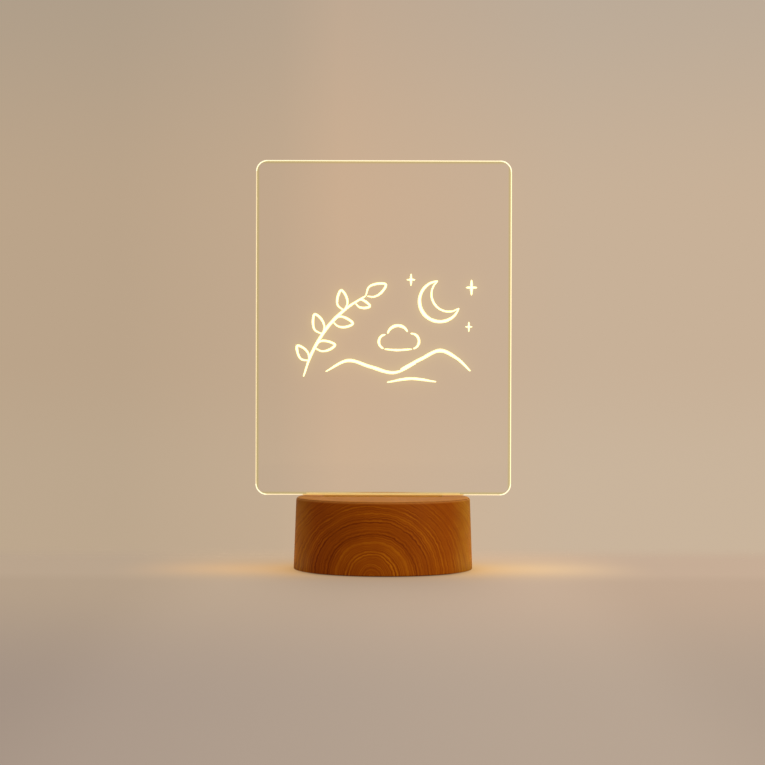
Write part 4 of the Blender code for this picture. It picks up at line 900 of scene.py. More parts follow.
WHITE_PLASTIC = Moulded("white_moulding", (0.78, 0.76, 0.70), roughness=0.48)
BROWN_PLASTIC = Moulded("brown_moulding", chart(118, 70, 38), roughness=0.58, depth=0.04 * MM)
BUTTON_PLASTIC = Moulded("button_moulding", chart(104, 60, 32), roughness=0.42, grain=0.18 * MM)
BLACK_PLASTIC = Moulded("black_moulding", (0.022, 0.021, 0.020), roughness=0.5)
CHIP_BODY = Moulded("chip_moulding", (0.018, 0.018, 0.019), roughness=0.68, grain=0.12 * MM)
RUBBER = Moulded("foot_rubber", (0.045, 0.040, 0.036), roughness=0.82, grain=0.4 * MM, gloss=0.25)
LAMP_BODY = Moulded("lamp_housing", (0.86, 0.85, 0.80), roughness=0.35, grain=0.15 * MM, drift=0.03)
RED_WIRE = Moulded("red_insulation", (0.52, 0.018, 0.012), roughness=0.38, grain=0.6 * MM, drift=0.08)
BLACK_WIRE = Moulded("black_insulation", (0.017, 0.017, 0.018), roughness=0.4, grain=0.6 * MM)
STEEL = Plated("zinc_plated_steel", (0.62, 0.62, 0.60), roughness=0.34)
NICKEL = Plated("nickel_plated_spring", (0.70, 0.67, 0.60), roughness=0.24, along=(1, 5, 1))
INLET_STEEL = Plated("inlet_shell", (0.58, 0.57, 0.55), roughness=0.28, along=(1, 6, 1))
GOLD = Plated("gold_contacts", (0.83, 0.60, 0.24), roughness=0.22, along=(1, 6, 1))
SOLDER = Plated("tinned_pads", (0.72, 0.72, 0.70), roughness=0.36, along=(1, 1, 1))
WHITE_BOARD = BoardMask("white_board_mask", (0.80, 0.79, 0.74), (0.72, 0.70, 0.62))
GREEN_BOARD = BoardMask("green_board_mask", (0.012, 0.105, 0.045), (0.03, 0.19, 0.075))
LAMP_GLOW = Glowing("warm_phosphor", (1.0, 0.72, 0.36), 3.0, (0.90, 0.62, 0.12))


class EdgeGlow(Enum):
    """How each stretch of the panel's edge shines, where it leaves the front or back face."""

    CORNER = Glowing("edge_corner", chart(255, 243, 205), 1.20, (0.25, 0.24, 0.21))
    TOP = Glowing("edge_top", chart(255, 238, 198), 1.02, (0.25, 0.24, 0.21))
    LEFT = Glowing("edge_left", chart(248, 222, 176), 0.95, (0.25, 0.24, 0.20))
    RIGHT = Glowing("edge_right", chart(252, 230, 180), 1.22, (0.25, 0.24, 0.20))
    LOW = Glowing("edge_low", chart(248, 226, 186), 1.0, (0.25, 0.23, 0.18))
    AMBER = Glowing("edge_over_base", chart(240, 196, 118), 0.82, (0.25, 0.20, 0.12))
    HAZE = Glowing("edge_haze", chart(218, 183, 130), 0.86, (0.25, 0.20, 0.12))
    TAB = Glowing("edge_in_base", chart(236, 168, 84), 0.25, (0.25, 0.20, 0.12))
    FLANK = Glowing("edge_flank", chart(244, 214, 152), 0.48, (0.25, 0.24, 0.18))


@dataclass(frozen=True)
class Corner:
    """One corner of an outline.

    Args:
        u: Where it lies across.
        v: Where it lies up.
        radius: The radius that rounds it.
    """

    u: float
    v: float
    radius: float


@dataclass(frozen=True)
class Outline:
    """A closed outline of straight runs and arcs, counter-clockwise.

    Args:
        corners: Its corners in order.
        steps: How many steps each corner's arc has.
    """

    corners: tuple[Corner, ...]
    steps: int

    @classmethod
    def rectangle(
        cls, width: float, height: float, radius: float, steps: int = 4, middle: Point = (0, 0)
    ) -> "Outline":
        """Makes a rounded rectangle.

        Args:
            width: Its size along u.
            height: Its size along v.
            radius: The radius of its corners.
            steps: How many steps each corner has.
            middle: Where its middle is.

        Returns:
            The outline.
        """
        signs = ((-1, -1), (1, -1), (1, 1), (-1, 1))
        places = ((middle[0] + a * width / 2, middle[1] + b * height / 2) for a, b in signs)
        return cls(tuple(Corner(u, v, radius) for u, v in places), steps)

    @classmethod
    def circle(cls, diameter: float, steps: int = 12) -> "Outline":
        """Returns a circle about the origin, with steps for each quarter."""
        return cls.rectangle(diameter, diameter, diameter / 2, steps)

    def ring(self, inset: float) -> list[Point]:
        """Works out the outline's points, moved inwards by an even distance.

        Args:
            inset: The distance; one below zero moves them outwards.

        Returns:
            The points, as many for every inset.
        """
        points = []
        count = len(self.corners)
        for index, corner in enumerate(self.corners):
            before, after = self.corners[index - 1], self.corners[(index + 1) % count]
            here = Vector((corner.u, corner.v))
            coming = (here - Vector((before.u, before.v))).normalized()
            going = (Vector((after.u, after.v)) - here).normalized()
            left_in, left_out = Vector((-coming.y, coming.x)), Vector((-going.y, going.x))
            turn = math.copysign(1.0, coming.cross(going))
            half = coming.angle(going) / 2
            middle = here + (left_in + left_out) / (1 + left_in.dot(left_out)) * corner.radius * turn
            radius = max(corner.radius - turn * inset, 0.0)
            start = math.atan2(-left_in.y * turn, -left_in.x * turn)
            for step in range(self.steps + 1):
                angle = start + turn * 2 * half * step / self.steps
                points.append((middle.x + radius * math.cos(angle), middle.y + radius * math.sin(angle)))
        return points


UPRIGHT = Matrix.Identity(4)
FACING_FRONT = Matrix(((1, 0, 0, 0), (0, 0, 1, 0), (0, 1, 0, 0), (0, 0, 0, 1)))


def foot_of(low: Vector, high: Vector) -> Matrix:
    """Returns the place of a box's foot: the middle of its lower face."""
    return Matrix.Translation(((low.x + high.x) / 2, (low.y + high.y) / 2, low.z))


def in_a_row(middle: float, count: int, pitch: float) -> list[float]:
    """Returns the places of equal things that lie evenly about a middle."""
    return [middle + (number - (count - 1) / 2) * pitch for number in range(count)]


def skinned(solid: Solid, rows: Sequence[Sequence[bmesh.types.BMVert]]) -> list[bmesh.types.BMFace]:
    """Closes rings of points into one skin with a face at both ends.

    Args:
        solid: The mesh that holds the points.
        rows: The rings, in order.

    Returns:
        The faces between the rings, one ring after another.
    """
    skin = []
    for lower, upper in zip(rows, rows[1:]):
        for index in range(len(lower)):
            after = (index + 1) % len(lower)
            skin.append(solid.faces.new((lower[index], lower[after], upper[after], upper[index])))
    solid.faces.new(list(reversed(rows[0])))
    solid.faces.new(rows[-1])
    return skin


def layered(
    outline: Outline,
    levels: Sequence[Level],
    place: Matrix = UPRIGHT,
    relief: Callable[[float, float], float] | None = None,
) -> Solid:
    """Builds a closed solid from one outline at several levels.

    Args:
        outline: The outline.
        levels: How far the outline is inset at each level, and the level's height, in order.
        place: Where the solid's own u, v and height lie in the frame.
        relief: Extra inset for an angle about the axis and a height, as a thread needs it.

    Returns:
        The solid, with its faces pointing out.
    """
    solid = bmesh.new()
    rings = []
    for inset, height in levels:
        ring = []
        for u, v in outline.ring(inset):
            if relief is not None:
                out = math.hypot(u, v)
                share = 1 - relief(math.atan2(v, u), height) / out
                u, v = u * share, v * share
            ring.append(solid.verts.new(place @ Vector((u, v, height))))
        rings.append(ring)
    skinned(solid, rings)
    bmesh.ops.remove_doubles(solid, verts=solid.verts, dist=SAME_PLACE)
    bmesh.ops.dissolve_degenerate(solid, edges=solid.edges, dist=SAME_PLACE)
    bmesh.ops.recalc_face_normals(solid, faces=solid.faces)
    return solid


def rounded_levels(low: float, high: float, edge: float, steps: int = 3) -> list[Level]:
    """Works out the levels of a plate whose edges are rounded at both faces.

    Args:
        low: The height of its lower face.
        high: The height of its upper face.
        edge: The radius of its edges.
        steps: How many steps each edge has.

    Returns:
        The levels, from low to high.
    """
    turns = [QUARTER_TURN * step / steps for step in range(steps + 1)]
    rising = [(edge * (1 - math.sin(turn)), low + edge * (1 - math.cos(turn))) for turn in turns]
    falling = [(inset, high + low - height) for inset, height in reversed(rising)]
    return rising + falling


def merged(solids: Iterable[Solid]) -> Solid:
    """Puts several closed solids into one mesh, as pieces of one part that lie apart.

    Args:
        solids: The solids, which are used up.

    Returns:
        The mesh that holds them all.
    """
    whole = bmesh.new()
    for solid in solids:
        step = bpy.data.meshes.new("step")
        solid.to_mesh(step)
        solid.free()
        whole.from_mesh(step)
        bpy.data.meshes.remove(step)
    return whole


def joined_solid(first: Solid, second: Solid, operation: str) -> Solid:
    """Adds one solid to another, or cuts it out of the other.

    Args:
        first: The first solid, which is used up.
        second: The second solid, which is used up.
        operation: UNION or DIFFERENCE.

    Returns:
        The resulting solid.
    """
    helpers = []
    for solid in (first, second):
        mesh = bpy.data.meshes.new("step")
        solid.to_mesh(mesh)
        solid.free()
        helper = bpy.data.objects.new("step", mesh)
        bpy.context.scene.collection.objects.link(helper)
        helpers.append(helper)
    work = helpers[0].modifiers.new("work", "BOOLEAN")
    work.object, work.operation, work.solver = helpers[1], operation, "EXACT"
    result = bmesh.new()
    result.from_mesh(helpers[0].evaluated_get(bpy.context.evaluated_depsgraph_get()).to_mesh())
    for helper in helpers:
        mesh = helper.data
        bpy.data.objects.remove(helper)
        bpy.data.meshes.remove(mesh)
    return result


def add_piece(
    name: str,
    solid: Solid,
    finishes: Sequence[Finish],
    body: Body,
    replaced: Sequence[str] = (),
    sharp: float = 40.0,
    place: Matrix = UPRIGHT,
) -> None:
    """Adds a modelled piece to the object. Its flat faces stay flat, and its round ones are shaded as round.

    Args:
        name: The piece's name.
        solid: Its mesh, which is used up.
        finishes: The finishes, in the order of the mesh's material numbers.
        body: The body that it rides on.
        replaced: The nodes that it stands for.
        sharp: The angle above which an edge stays sharp, in degrees.
        place: Where the mesh's own coordinates lie in the frame.
    """
    mesh = bpy.data.meshes.new(name)
    solid.to_mesh(mesh)
    solid.free()
    mesh.set_sharp_from_angle(angle=math.radians(sharp))
    for face in mesh.polygons:
        face.use_smooth = face.loop_total <= 4
    for finish in finishes:
        mesh.materials.append(finish.material())
    piece = bpy.data.objects.new(name, mesh)
    bpy.context.scene.collection.objects.link(piece)
    piece.matrix_world = place
    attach(piece, body.value)
    if replaced:
        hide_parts(*replaced)
    LOG.info("%s: %d faces on %s", name, len(mesh.polygons), body.value)


@cache
def round_shading(sharp: float = 32.0, weld: float = 0.001 * MM) -> bpy.types.NodeTree:
    """Makes the modifier that shades the round faces of the frame's faceted nodes as round, once.

    Args:
        sharp: The angle above which an edge stays sharp, in degrees.
        weld: How far apart points may lie that become one.

    Returns:
        The modifier's group.
    """
    group = bpy.data.node_groups.new("round_faces", "GeometryNodeTree")
    for way in ("INPUT", "OUTPUT"):
        group.interface.new_socket("Geometry", in_out=way, socket_type="NodeSocketGeometry")
    recipe = Recipe(group)
    source = recipe.node("NodeGroupInput").outputs[0]
    joined = recipe.node("GeometryNodeMergeByDistance", {"Geometry": source, "Distance": weld}).outputs[0]
    shaded = {"Geometry": joined, "Shade Smooth": True}
    smooth = recipe.node("GeometryNodeSetShadeSmooth", shaded).outputs[0]
    angle = recipe.node("GeometryNodeInputMeshEdgeAngle").outputs["Unsigned Angle"]
    limits = {0: angle, 1: math.radians(sharp)}
    is_sharp = recipe.node("FunctionNodeCompare", limits, operation="GREATER_THAN").outputs[0]
    shaded = {"Geometry": smooth, "Selection": is_sharp, "Shade Smooth": False}
    edges = recipe.node("GeometryNodeSetShadeSmooth", shaded, domain="EDGE")
    recipe.node("NodeGroupOutput", {0: edges.outputs[0]})
    return group


def dress(names: Iterable[str], finish: Finish, rounding: int = 0) -> None:
    """Gives some of the frame's nodes their finish and their shading.

    Args:
        names: The nodes.
        finish: The finish that they wear.
        rounding: How many times a wire's sides are rounded further.
    """
    for name in names:
        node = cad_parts[name]
        node.data.materials.clear()
        node.data.materials.append(finish.material())
        if "custom_normal" in node.data.attributes:
            node.data.attributes.remove(node.data.attributes["custom_normal"])
        node.modifiers.new("round_faces", "NODES").node_group = round_shading()
        if rounding:
            rounder = node.modifiers.new("rounding", "SUBSURF")
            rounder.levels = rounder.render_levels = rounding
        LOG.info("%s: dressed as %s", name, finish.name)


@dataclass
class StudioCamera:
    """The camera, at the place and angle of the photograph.

    Args:
        side: How far it stands to the right of the object's middle.
        distance: How far it stands in front of it.
        height: Its height above the table.
        tilt: How far it looks down, in degrees.
        roll: How far it leans, in degrees.
        focal_pixels: Its focal length in the photograph's pixels.
        sight: From how near to how far it sees.
    """

    side: float = -0.55 * MM
    distance: float = 1.4
    height: float = 122.7 * MM
    tilt: float = 0.533
    roll: float = 0.156
    focal_pixels: float = 2382.5
    sight: Span = (0.01, 100.0)

    def build(self) -> None:
        """Makes the camera and hands it to the scene."""
        tilt, roll = math.radians(self.tilt), math.radians(self.roll)
        back = Vector((0.0, -math.cos(tilt), math.sin(tilt)))
        level = Vector((0, 0, 1)).cross(back).normalized()
        above = back.cross(level)
        right = math.cos(roll) * level + math.sin(roll) * above
        up = math.cos(roll) * above - math.sin(roll) * level
        data = bpy.data.cameras.new("studio_camera")
        data.sensor_width = SENSOR_WIDTH
        data.lens = self.focal_pixels / FRAME_PIXELS * SENSOR_WIDTH
        data.clip_start, data.clip_end = self.sight
        camera = bpy.data.objects.new("studio_camera", data)
        camera.matrix_world = Matrix.Translation((self.side, -self.distance, self.height)) @ Matrix(
            (right, up, back)
        ).transposed().to_4x4()
        bpy.context.scene.collection.objects.link(camera)
        bpy.context.scene.camera = camera


@dataclass(frozen=True)
class SoftLamp:
    """One soft box of the studio.

    Args:
        name: Its name.
        place: Where it hangs.
        size: How wide it is.
        power: How strong it is, in watts.
        colour: The colour of its light.
        aim: The point that it is turned to.
    """

    name: str
    place: Spot
    size: float
    power: float
    colour: Colour
    aim: Spot = (0.0, 0.0, 80 * MM)

    def build(self) -> None:
        """Hangs the lamp and turns it to its aim."""
        data = bpy.data.lights.new(self.name, "AREA")
        data.shape = "DISK"
        data.size = self.size
        data.energy = self.power
        data.color = self.colour
        lamp = bpy.data.objects.new(self.name, data)
        place = Vector(self.place)
        lamp.location = place
        lamp.rotation_euler = (Vector(self.aim) - place).to_track_quat("-Z", "Y").to_euler()
        bpy.context.scene.collection.objects.link(lamp)


BOUNCE_LIGHT = (1.0, 0.80, 0.40)
LENS_GLOW = {"Threshold": 0.95, "Smoothness": 0.2, "Strength": 0.55, "Size": 0.08, "Tint": (0.95, 0.95, 0.20)}


@dataclass
class Studio:
    """Floor, backdrop, lamps and the lens's soft glow. None of it is part of the object.

    Args:
        left: The backdrop's colour at the left.
        inner_left: Its colour between there and the middle.
        middle: Its colour behind the object.
        right: Its colour at the right.
        stops: How far across these four colours lie, from 0 to 1.
        half_width: The sine of the angle at which its left and right ends are seen.
        above: What its light is multiplied by high up.
        high: The sines of the angles where that starts and where it is reached.
        below: What its light is multiplied by low down.
        low: The same for that.
        ground: The floor's finish.
        floor_radius: How far the floor reaches.
        lamps: The soft boxes, and two small ones for the light that the panel's edges throw on the floor.
    """

    left: Colour = chart(187, 164, 138)
    inner_left: Colour = chart(194, 169, 142)
    middle: Colour = chart(204, 175, 146)
    right: Colour = chart(200, 177, 152)
    stops: tuple[float, ...] = (0.0, 0.3, 0.42, 0.85)
    half_width: float = 0.11
    above: Colour = (0.86, 0.92, 1.0)
    high: Span = (0.06, 0.17)
    below: Colour = (1.02, 1.045, 1.06)
    low: Span = (0.005, -0.05)
    ground: StudioGround = StudioGround(
        "studio_ground",
        near_left=chart(192, 172, 150),
        near_right=chart(204, 180, 158),
        far_left=chart(174, 158, 145),
        far_right=chart(187, 170, 154),
        cream=chart(224, 189, 150),
        amber=chart(219, 171, 113),
    )
    floor_radius: float = 2.0
    lamps: tuple[SoftLamp, ...] = (
        SoftLamp("right_softbox", (1.1, -0.9, 0.75), 0.9, 9.5, (1.0, 0.90, 0.78)),
        SoftLamp("left_softbox", (-1.3, -0.5, 0.9), 0.9, 1.0, (1.0, 0.93, 0.84)),
        SoftLamp("rear_softbox", (0.3, 1.3, 1.2), 1.0, 4.0, (1.0, 0.92, 0.82)),
        SoftLamp("left_bounce", (-0.074, -0.008, 0.001), 0.026, 0.007, BOUNCE_LIGHT, (-0.074, -0.008, 1.0)),
        SoftLamp("right_bounce", (0.074, -0.008, 0.001), 0.026, 0.009, BOUNCE_LIGHT, (0.074, -0.008, 1.0)),
    )

    def build_backdrop(self) -> None:
        """Colours the world: warm behind the object, greyer at the sides and above."""
        world = bpy.data.worlds.new("backdrop")
        world.use_nodes = True
        recipe = Recipe(world.node_tree)
        x, _, z = recipe.parts(recipe.node("ShaderNodeTexCoord").outputs["Generated"])
        across = recipe.spread(x, -self.half_width, self.half_width, 0.0, 1.0)
        colours = (self.left, self.inner_left, self.middle, self.right)
        colour = recipe.ramp(across, list(zip(self.stops, colours)))
        colour = recipe.gained(recipe.soft_step(z, *self.high), colour, self.above)
        colour = recipe.gained(recipe.soft_step(z, *self.low), colour, self.below)
        light = recipe.node("ShaderNodeBackground", {0: colour}).outputs[0]
        recipe.node("ShaderNodeOutputWorld", {0: light})
        bpy.context.scene.world = world

    def build_floor(self) -> None:
        """Lays the floor just under the object."""
        ground = bmesh.new()
        bmesh.ops.create_circle(ground, cap_ends=True, segments=64, radius=self.floor_radius)
        mesh = bpy.data.meshes.new("studio_floor")
        ground.to_mesh(mesh)
        ground.free()
        mesh.materials.append(self.ground.material())
        floor = bpy.data.objects.new("studio_floor", mesh)
        bpy.context.scene.collection.objects.link(floor)

    def build_glow(self) -> None:
        """Spreads the light of what glows a little, as a lens does."""
        scene = bpy.context.scene
        scene.use_nodes = True
        recipe = Recipe(scene.node_tree)
        image = recipe.node("CompositorNodeRLayers").outputs["Image"]
        glow = recipe.node("CompositorNodeGlare", {"Image": image, **LENS_GLOW}, glare_type="BLOOM")
        recipe.node("CompositorNodeComposite", {"Image": glow.outputs["Image"]})

    def build(self) -> None:
        """Sets up the whole studio."""
        bpy.context.scene.view_settings.view_transform = "Standard"
        self.build_backdrop()
        self.build_floor()
        self.build_glow()
        for lamp in self.lamps:
            lamp.build()


@dataclass
class ClearPanel:
    """The acrylic sheet with its tab, cut and flame-polished, lit through its lower edge.

    Args:
        corner_radius: The radius of the sheet's corners.
        tab_corner_radius: The radius of the tab's lower corners.
        tab_width: The tab's width.
        tab_rebate: How far the tab's faces lie behind the sheet's, so that the lit edge runs on above it.
        tab_root: How far the tab reaches up into the sheet before the two become one.
        bottom: The height of the sheet's lower edge.
        polish: How far the polished edges are rounded.
        base_share: How much of the base's width the lower edge glows amber over.
        frosted: How high the rear face is frosted near the middle, where the lamps' light is strongest.
        frosted_share: How much of the base's width that frosted strip covers.
        arc_steps: How many steps each corner of the sheet has.
        tab_arc_steps: How many each corner of the tab has.
        square: How squarely a face has to face front or rear to be one of the sheet's two faces.
        slight: How little a face may turn to a side and not count as facing it.
    """

    corner_radius: float = 6.5 * MM
    tab_corner_radius: float = 2 * MM
    tab_width: float = 70 * MM
    tab_rebate: float = 0.3 * MM
    tab_root: float = 2 * MM
    bottom: float = 43.6 * MM
    polish: float = 0.5 * MM
    base_share: float = 0.90
    frosted: float = 1.3 * MM
    frosted_share: float = 0.86
    arc_steps: int = 16
    tab_arc_steps: int = 6
    square: float = 0.999
    slight: float = 0.05

    def solid(self, low: Vector, high: Vector) -> Solid:
        """Builds the sheet and its thinner tab as one solid.

        Args:
            low: The panel's lowest corner.
            high: The panel's highest corner.

        Returns:
            The solid.
        """
        middle = (0.0, (self.bottom + high.z) / 2)
        tall = high.z - self.bottom
        sheet = Outline.rectangle(2 * high.x, tall, self.corner_radius, self.arc_steps, middle)
        top = self.bottom + self.tab_root
        middle, tall = (0.0, (top + low.z) / 2), top - low.z
        foot = Outline.rectangle(self.tab_width, tall, self.tab_corner_radius, self.tab_arc_steps, middle)
        body = layered(sheet, rounded_levels(low.y, high.y, self.polish), FACING_FRONT)
        rebate, edge = self.tab_rebate, self.tab_rebate
        tab = layered(foot, rounded_levels(low.y + rebate, high.y - rebate, edge), FACING_FRONT)
        return joined_solid(body, tab, "UNION")

    def edge_kind(self, face: bmesh.types.BMFace, low: Vector, high: Vector, base_half: float) -> EdgeGlow:
        """Tells how a face of the polished edge shines.

        Args:
            face: The face.
            low: The sheet's lowest corner; not used.
            high: The sheet's highest corner.
            base_half: Half the width of the base's top.

        Returns:
            The edge's kind.
        """
        middle = face.calc_center_median()
        near_side = abs(middle.x) > high.x - self.corner_radius
        near_end = middle.z > high.z - self.corner_radius or middle.z < self.bottom + self.corner_radius
        if middle.z < self.bottom - self.polish:
            return EdgeGlow.TAB
        if abs(face.normal.y) < self.slight:
            return EdgeGlow.FLANK
        if near_side and near_end:
            return EdgeGlow.CORNER
        if near_side:
            return EdgeGlow.RIGHT if middle.x > 0 else EdgeGlow.LEFT
        if middle.z > high.z - self.corner_radius:
            return EdgeGlow.TOP
        return EdgeGlow.AMBER if abs(middle.x) < base_half else EdgeGlow.LOW

    def split_low_edge(self, sheet: Solid, base_half: float, frosted_half: float) -> None:
        """Splits the lower edge and the strip of the rear face above it where their glow changes.

        Args:
            sheet: The sheet.
            base_half: Half the width that glows amber.
            frosted_half: Half the width of the frosted strip.
        """
        strip_top = self.bottom + self.frosted
        rear = [face for face in sheet.faces if face.normal.y > self.square]
        above = [face for face in rear if face.calc_center_median().z > strip_top]
        self.cut(sheet, above, (0, 0, strip_top), (0, 0, 1))
        for side in (-base_half, -frosted_half, frosted_half, base_half):
            faces = [
                face
                for face in sheet.faces
                if (face.normal.z < -self.slight or face.normal.y > self.square)
                and abs(face.calc_center_median().z - self.bottom) < self.frosted
            ]
            self.cut(sheet, faces, (side, 0, 0), (1, 0, 0))

    def cut(self, sheet: Solid, faces: list[bmesh.types.BMFace], point: Spot, across: Spot) -> None:
        """Cuts some of the sheet's faces in two along a plane.

        Args:
            sheet: The sheet.
            faces: The faces.
            point: A point of the plane.
            across: The plane's direction.
        """
        edges = {edge for face in faces for edge in face.edges}
        verts = {vert for face in faces for vert in face.verts}
        bmesh.ops.bisect_plane(sheet, geom=[*faces, *edges, *verts], plane_co=point, plane_no=across)

    def build(self) -> None:
        """Builds the sheet and gives each stretch of its edge its glow."""
        low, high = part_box("acrylic_panel")
        base_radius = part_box("base_shell")[1].x
        base_half, frosted_half = self.base_share * base_radius, self.frosted_share * base_radius
        sheet = self.solid(low, high)
        self.split_low_edge(sheet, base_half, frosted_half)
        clear = ClearSheet("clear_sheet", high.x, self.bottom, high.z)
        kinds = list(EdgeGlow)
        for face in sheet.faces:
            middle = face.calc_center_median()
            if abs(face.normal.y) < self.square:
                face.material_index = 1 + kinds.index(self.edge_kind(face, low, high, base_half))
            elif self.bottom < middle.z < self.bottom + self.frosted and abs(middle.x) < frosted_half:
                face.material_index = 1 + kinds.index(EdgeGlow.HAZE)
        finishes = [clear, *(kind.value for kind in kinds)]
        add_piece("acrylic_sheet", sheet, finishes, Body.PANEL, ["acrylic_panel"], sharp=50)


ARC_STEP = 24.0
PRESS_CURVE = 0.6
FINEST_TIP = 0.004


def gone_along(line: np.ndarray) -> np.ndarray:
    """Returns how far along a line each of its points lies."""
    return np.concatenate([[0.0], np.cumsum(np.linalg.norm(np.diff(line, axis=0), axis=1))])


@dataclass(frozen=True)
class Stroke:
    """One stroke of a paint marker, through a few points, in millimetres on the panel.

    Args:
        points: The points, across and up.
        width: The stroke's greatest width.
        lift: How thin it starts and ends, as a share of its width.
        waver: The hand's two tremors: how strong each is, and how fast it turns.
    """

    points: tuple[Point, ...]
    width: float
    lift: float = 0.45
    waver: tuple[Point, ...] = ((0.05, 17.0), (0.03, 41.0))

    @classmethod
    def arc(
        cls, middle: Point, radius: float, start: float, end: float, width: float, lift: float = 0.45
    ) -> "Stroke":
        """Makes a stroke along part of a circle.

        Args:
            middle: The circle's middle.
            radius: Its radius.
            start: The angle where the stroke starts, in degrees.
            end: The angle where it ends.
            width: The stroke's greatest width.
            lift: How thin it starts and ends.

        Returns:
            The stroke.
        """
        count = max(4, round(abs(end - start) / ARC_STEP))
        angles = [math.radians(start + (end - start) * step / count) for step in range(count + 1)]
        places = tuple((middle[0] + radius * math.cos(a), middle[1] + radius * math.sin(a)) for a in angles)
        return cls(places, width, lift)

    def path(self, spacing: float = 0.35, samples: int = 24) -> np.ndarray:
        """Draws a smooth line through the stroke's points.

        Args:
            spacing: How far apart the line's points lie.
            samples: How finely each run between two points is worked out first.

        Returns:
            The line's points, evenly spaced.
        """
        given = np.array(self.points, float)
        padded = np.vstack([2 * given[0] - given[1], given, 2 * given[-1] - given[-2]])
        share = np.linspace(0, 1, samples, endpoint=False)[:, None]
        runs = []
        for a, b, c, d in zip(padded, padded[1:], padded[2:], padded[3:]):
            bend = 2 * a - 5 * b + 4 * c - d
            twist = -a + 3 * b - 3 * c + d
            runs.append(0.5 * (2 * b + (c - a) * share + bend * share**2 + twist * share**3))
        line = np.vstack([*runs, given[-1:]])
        lengths = gone_along(line)
        wanted = np.linspace(0, lengths[-1], max(6, int(lengths[-1] / spacing)))
        return np.stack([np.interp(wanted, lengths, line[:, axis]) for axis in (0, 1)], 1)

    def widths(self, line: np.ndarray) -> np.ndarray:
        """Works out the stroke's half width along its line, with round ends.

        Args:
            line: The line's points.

        Returns:
            Half the width at each point.
        """
        gone = gone_along(line)
        share = gone / gone[-1]
        press = self.lift + (1 - self.lift) * np.sin(np.pi * share) ** PRESS_CURVE
        waver = 1
        for (strength, turns), start in zip(self.waver, line[0]):
            waver = waver + strength * np.sin(share * turns + start)
        half = self.width / 2 * press * waver
        near = np.minimum(gone, gone[-1] - gone)
        tip = self.width / 2 * self.lift
        round_end = np.sqrt(np.clip(1 - (1 - np.clip(near / tip, 0, 1)) ** 2, FINEST_TIP, 1))
        return half * round_end


